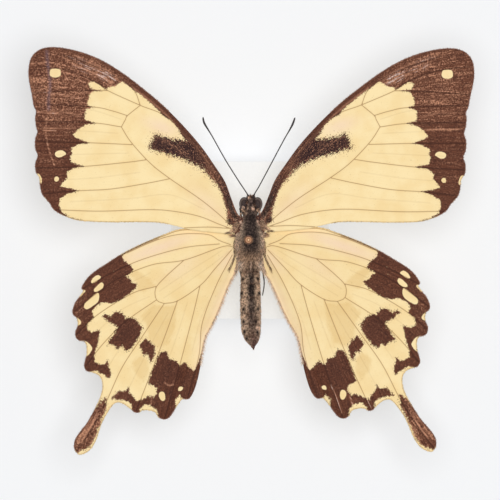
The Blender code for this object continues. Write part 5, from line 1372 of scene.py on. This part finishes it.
def makeLeg(kind, sideName, side, material):
    node = kind + "_" + sideName
    points = np.array(legPaths.get(node, legPaths[kind]))
    points[:, 0] *= side
    path = smoothPath(points, legForm["step"])
    share, _ = lengthShares(path)
    radii = keyed(legRadii, share)
    foot = np.clip((share - footForm["from"]) / (1.0 - footForm["from"]), 0.0, 1.0)
    onFoot = (foot > 0.0) * (share < footForm["to"])
    radii = radii + footForm["swell"] * onFoot * (foot * footForm["segments"] % 1.0) ** 2
    finishLimb(sweptTube(node + "Limb", path, radii, legForm["sides"], material), node)


def makeProboscis(material):
    form = coilForm
    turned = np.linspace(0.0, 1.0, form["steps"])
    angle = np.radians(form["start"] + 360.0 * form["turns"] * turned)
    radius = form["outer"] + (form["inner"] - form["outer"]) * turned
    coil = np.column_stack((np.full(len(turned), form["x"]), form["centre"][0] + radius * np.cos(angle),
                            form["centre"][1] + radius * np.sin(angle)))
    root = [(form["x"], form["root"][0], form["root"][1]),
            (form["x"], form["root"][0] - 0.08, 0.5 * (form["root"][1] + coil[0][2]))]
    path = smoothPath([*root, *coil], form["step"])
    radii = form["radius"] * (1.0 - form["taper"] * lengthShares(path)[0])
    finishLimb(sweptTube("proboscisCoil", path, radii, form["sides"], material), "proboscis")


def tubeMap(tube, sides, rings):
    # the tube's own unwrap, with its ends as small patches above
    places = []
    for face in tube.data.polygons:
        if len(face.vertices) == 4:
            index, ring = face.index % sides, face.index // sides
            left, right = 0.02 + 0.96 * index / sides, 0.02 + 0.96 * (index + 1) / sides
            low, high = 0.02 + 0.88 * ring / (rings - 1), 0.02 + 0.88 * (ring + 1) / (rings - 1)
            places += [(left, low), (left, high), (right, high), (right, low)]
        else:
            places += [(0.1, 0.95), (0.12, 0.97), (0.14, 0.95)]
    return places


def makePalps():
    form = palpForm
    for sideName, side in bothSides:
        points = [(eyeForm["headX"] + side * x, y, z) for x, y, z in form["path"]]
        path = smoothPath(points, form["step"])
        radii = keyed(form["radii"], lengthShares(path)[0])
        palp = sweptTube("palp_" + sideName + "_skin", path, radii, form["sides"], skinMaterial)
        count = len(palp.data.vertices)
        store(palp, "coatColour", np.broadcast_to(bodyColours["tan"], (count, 4)))
        store(palp, "lie", np.tile((0.0, 0.3, 1.0), (count, 1)))
        store(palp, "hairLength", np.full(count, form["hairLength"]))
        store(palp, "hairShare", np.ones(count))
        storeMap(palp, tubeMap(palp, form["sides"], len(path)))
        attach(palp, "root")
        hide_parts("palp_" + sideName)
        growCoat("palpHair_" + sideName, palp, palpHair, hairMaterial)


limbMaterial = limbFinish()
for antenna in feelerPaths:
    makeAntenna(antenna, limbMaterial)
for leg in ("foreleg", "midleg", "hindleg"):
    for sideName, side in bothSides:
        makeLeg(leg, sideName, side, limbMaterial)
makeProboscis(limbMaterial)
makePalps()
print("feelers and legs made")


# Insect pin and foam block

pinForm = {"x": -0.3, "sides": 48,
           "profile": [(0.0, 2.0), (0.05, 2.3), (0.12, 2.9), (0.19, 4.0), (0.19, 38.6), (0.34, 38.72),
                       (0.62, 38.8), (0.82, 38.98), (0.9, 39.25), (0.86, 39.55), (0.74, 39.78),
                       (0.58, 39.86), (0.44, 39.8), (0.34, 39.78), (0.24, 39.88), (0.12, 39.97),
                       (0.0, 40.0)]}
blockForm = {"side": 32.0, "height": 10.0, "edge": 0.2, "edgeSegments": 4}
# painted light on the block: it glows with this strength like the floor, which stands in for light from all
# round
groundGlow = 0.42  # the block and the floor are evenly lit, as by light from all round


def makePin():
    finish = Finish("pinMetal")
    fromPin = finish.vector("SUBTRACT", finish.place, (pinForm["x"], 0.0, 0.0))
    fromAxis = finish.vector("LENGTH", finish.stretched(fromPin, (1.0, 1.0, 0.0))).out("Value")
    # painted reflection: the head is coloured in rings round the pin's axis, dark outside, then a copper
    # ring, then a pale centre that is a painted highlight, standing in for the studio light that the round
    # metal head reflects
    ring = fromAxis.above(0.22, 0.34) * fromAxis.below(0.5, 0.62)
    colour = finish.mix(ring, screen(112, 74, 50), screen(160, 112, 74))
    colour = finish.mix(fromAxis.below(0.12, 0.32), colour, screen(240, 196, 152))
    finish.finished(colour, 0.45, **{"Metallic": 0.3})
    x, sides, profile = pinForm["x"], pinForm["sides"], np.array(pinForm["profile"])
    angles = np.linspace(0.0, 2.0 * math.pi, sides, endpoint=False)
    corners, faces = [(x, 0.0, profile[0][1])], []
    for radius, height in profile[1:-1]:
        corners += [(x + radius * math.cos(angle), radius * math.sin(angle), height) for angle in angles]
    corners.append((x, 0.0, profile[-1][1]))
    for index in range(sides):
        after = (index + 1) % sides
        faces.append((0, 1 + after, 1 + index))
        for ring in range(len(profile) - 3):
            low = 1 + ring * sides
            faces.append((low + index, low + after, low + sides + after, low + sides + index))
        faces.append((len(corners) - 1, len(corners) - 1 - sides + index, len(corners) - 1 - sides + after))
    pin = pieceFrom("pinShaft", corners, faces, finish.material)
    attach(pin, "root")
    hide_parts("insect_pin")


def makeBlock():
    finish = Finish("foam")
    cells = finish.node("ShaderNodeTexVoronoi", {}, {"Vector": finish.place, "Scale": 2.2}).out("Distance")
    colour = finish.mix(cells.above(0.3, 0.7) * 0.5, screen(188, 190, 193), screen(184, 186, 189))
    # painted light: the foam glows as evenly as the floor
    finish.finished(colour, 0.9, cells, 0.05, 0.35, **{
        "Specular IOR Level": 0.1, "Emission Color": (1.0, 1.0, 1.0, 1.0), "Emission Strength": groundGlow})
    bpy.ops.mesh.primitive_cube_add(size=1.0, location=(0.0, 0.0, blockForm["height"] / 2.0 * mm))
    block = bpy.context.object
    block.name = "foamBlock"
    block.scale = (blockForm["side"] * mm, blockForm["side"] * mm, blockForm["height"] * mm)
    bpy.ops.object.transform_apply(location=True, rotation=True, scale=True)
    rounding = block.modifiers.new("rounding", "BEVEL")
    rounding.width = blockForm["edge"] * mm
    rounding.segments = blockForm["edgeSegments"]
    plainMesh(block)
    block.data.name = "foamBlock"
    block.data.materials.append(finish.material)
    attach(block, "root")
    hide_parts("stand_base")


makePin()
makeBlock()
print("pin and block made")


# Stage, light and camera

stageForm = {"floorSide": 1600.0, "floorGrey": (189, 191, 194), "skyStrength": 0.4,
             "lamp": {"place": (50.0, 30.0, 900.0), "aim": (0.0, 0.0, 20.0), "size": 420.0, "power": 4.9}}
# the camera looks straight down, and the photo is as wide as the given width in the wings' plane
cameraForm = {"height": 1400.0, "centre": (0.0, -2.0), "wingPlane": 26.6, "width": 100.0, "sensor": 36.0,
              "near": 10.0, "far": 10000.0}


def makeStage():
    finish = Finish("paleFloor")
    finish.finished(screen(*stageForm["floorGrey"]), 0.95, **{
        "Specular IOR Level": 0.0, "Emission Color": (1.0, 1.0, 1.0, 1.0), "Emission Strength": groundGlow})
    half = stageForm["floorSide"] / 2.0
    corners = [(-half, -half, 0.0), (half, -half, 0.0), (half, half, 0.0), (-half, half, 0.0)]
    pieceFrom("floor", corners, [(0, 1, 2, 3)], finish.material)


def makeLight(name, place, aim, size, power):
    lamp = bpy.data.lights.new(name, "AREA")
    lamp.shape = "DISK"
    lamp.size = size * mm
    lamp.energy = power
    holder = bpy.data.objects.new(name, lamp)
    bpy.context.scene.collection.objects.link(holder)
    holder.location = Vector(place) * mm
    holder.rotation_euler = (Vector(aim) - Vector(place)).to_track_quat("-Z", "Y").to_euler()


def makeSky():
    world = bpy.data.worlds.new("studio")
    world.use_nodes = True
    background = world.node_tree.nodes["Background"].inputs
    background["Color"].default_value = (1.0, 1.0, 1.0, 1.0)
    background["Strength"].default_value = stageForm["skyStrength"]
    bpy.context.scene.world = world


def makeCamera():
    form = cameraForm
    lens = bpy.data.cameras.new("camera")
    camera = bpy.data.objects.new("camera", lens)
    bpy.context.scene.collection.objects.link(camera)
    camera.location = Vector((*form["centre"], form["height"])) * mm
    lens.sensor_width = form["sensor"]
    lens.lens = lens.sensor_width * (form["height"] - form["wingPlane"]) / form["width"]
    lens.clip_start = form["near"] * mm
    lens.clip_end = form["far"] * mm
    bpy.context.scene.camera = camera


makeSky()
makeStage()
makeLight("keyLight", **stageForm["lamp"])
makeCamera()
bpy.context.scene.view_settings.view_transform = "Standard"
print("stage, light and camera made")
